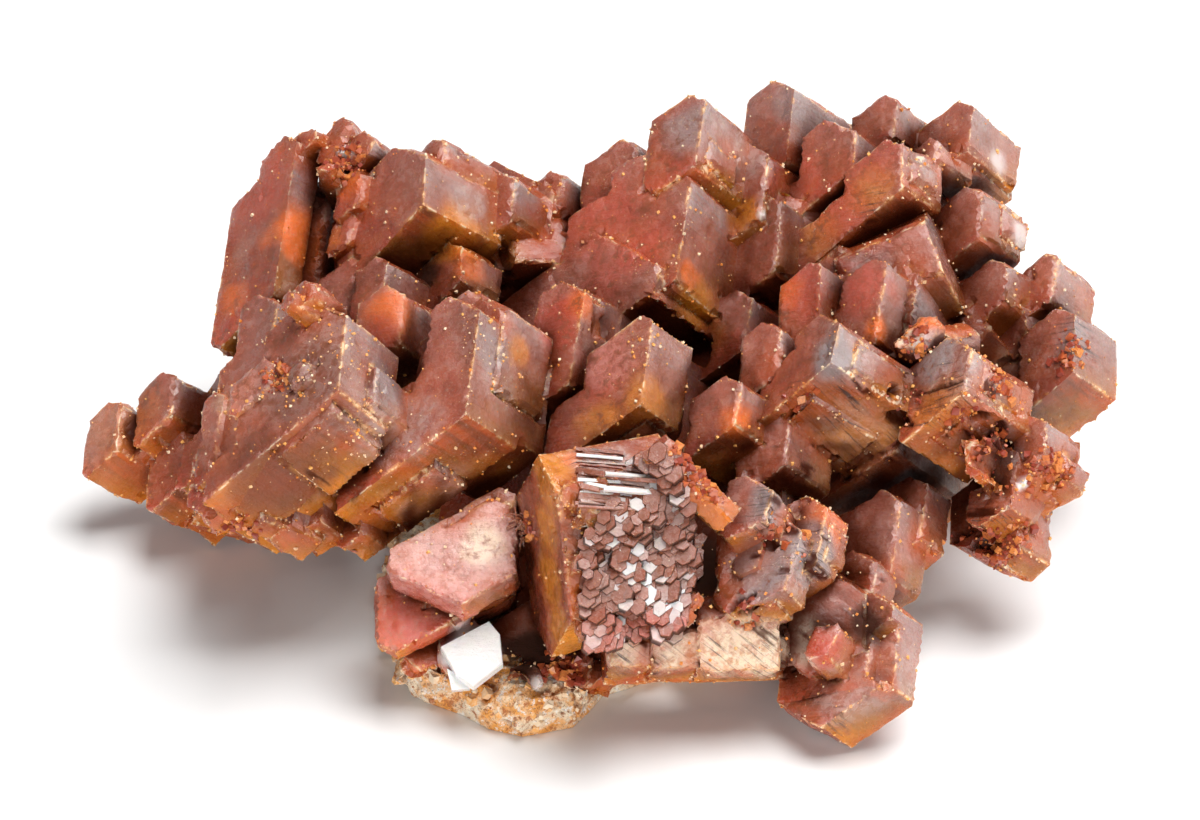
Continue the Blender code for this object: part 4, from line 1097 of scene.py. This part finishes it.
# The soft lights: place, width and height in metres, and power in watts.
LIGHTS = {
    "overhead": ((0.08, 0.0, 0.31), 0.23, 0.21, 1.48),
    "right": ((0.34, 0.12, 0.08), 0.18, 0.14, 0.35),
    "front": ((0.02, -0.40, 0.07), 0.30, 0.10, 1.05),
}

def make_floor():
    bpy.ops.mesh.primitive_plane_add(size=FLOOR_SIZE, location=(0, 0, FLOOR_LEVEL))
    floor = bpy.context.object
    floor.name = "floor"
    floor.data.materials.append(floor_material())

def soft_light(name, place, width, height, power):
    data = bpy.data.lights.new(name, "AREA")
    data.shape = "RECTANGLE"
    data.size = width
    data.size_y = height
    data.energy = power
    light = new_object(name, data)
    light.location = place
    aim = Vector(LIT_PLACE) - Vector(place)
    light.rotation_euler = aim.to_track_quat("-Z", "Y").to_euler()

def make_light():
    world = bpy.data.worlds.new("studio")
    bpy.context.scene.world = world
    world.use_nodes = True
    background = world.node_tree.nodes["Background"]
    background.inputs["Color"].default_value = (1, 1, 1, 1)
    background.inputs["Strength"].default_value = WORLD_STRENGTH
    for name, form in LIGHTS.items():
        soft_light(name, *form)
    view = bpy.context.scene.view_settings
    view.view_transform = "Standard"
    view.look = "None"

make_camera()
solid_trees = [solid_tree("vanadinite_crystals"), solid_tree("matrix_crust")]
crystal = crystal_material()
crystals = crystal_surface(solid_trees, crystal)
mosaic_scales(solid_trees, crystal)
stacked_sheets(solid_trees, crystal)
bright_facets(solid_trees, crystal)
fibres(solid_trees, crystal)
dusty = (0.12 + crystals.accents["dust"] + 0.8 * smooth_step(0.3, 0.0, crystals.ridge)
         + 0.5 * smooth_step(0.4, 0.0, crystals.valley)) * crystals.openness
dusty = dusty * (1 - 0.6 * crystals.accents["steel"])
scatter_grains("orange_dust", crystals, dusty, DUST_GRAINS,
               grain_material("dust", (DUST, CREAM, DUST_ORANGE), 0.6), 31)
crumbling = crystals.accents["crumbly"] + 0.15 * crystals.accents["hollow"]
scatter_grains("crystal_crumbs", crystals, crumbling, CRUMBS,
               grain_material("crumbs", (MAROON, RED_BROWN, CRUMB_GOLD), 0.35), 37)
matrix = matrix_surface()
rough_top = smooth_step(0.3, 0.9, matrix.shaped[:, 2])
scatter_grains("matrix_grains", matrix, rough_top, MATRIX_GRAINS,
               grain_material("grit", (CREAM, DUST, GRIT_BROWN), 0.7), 43)
make_floor()
make_light()
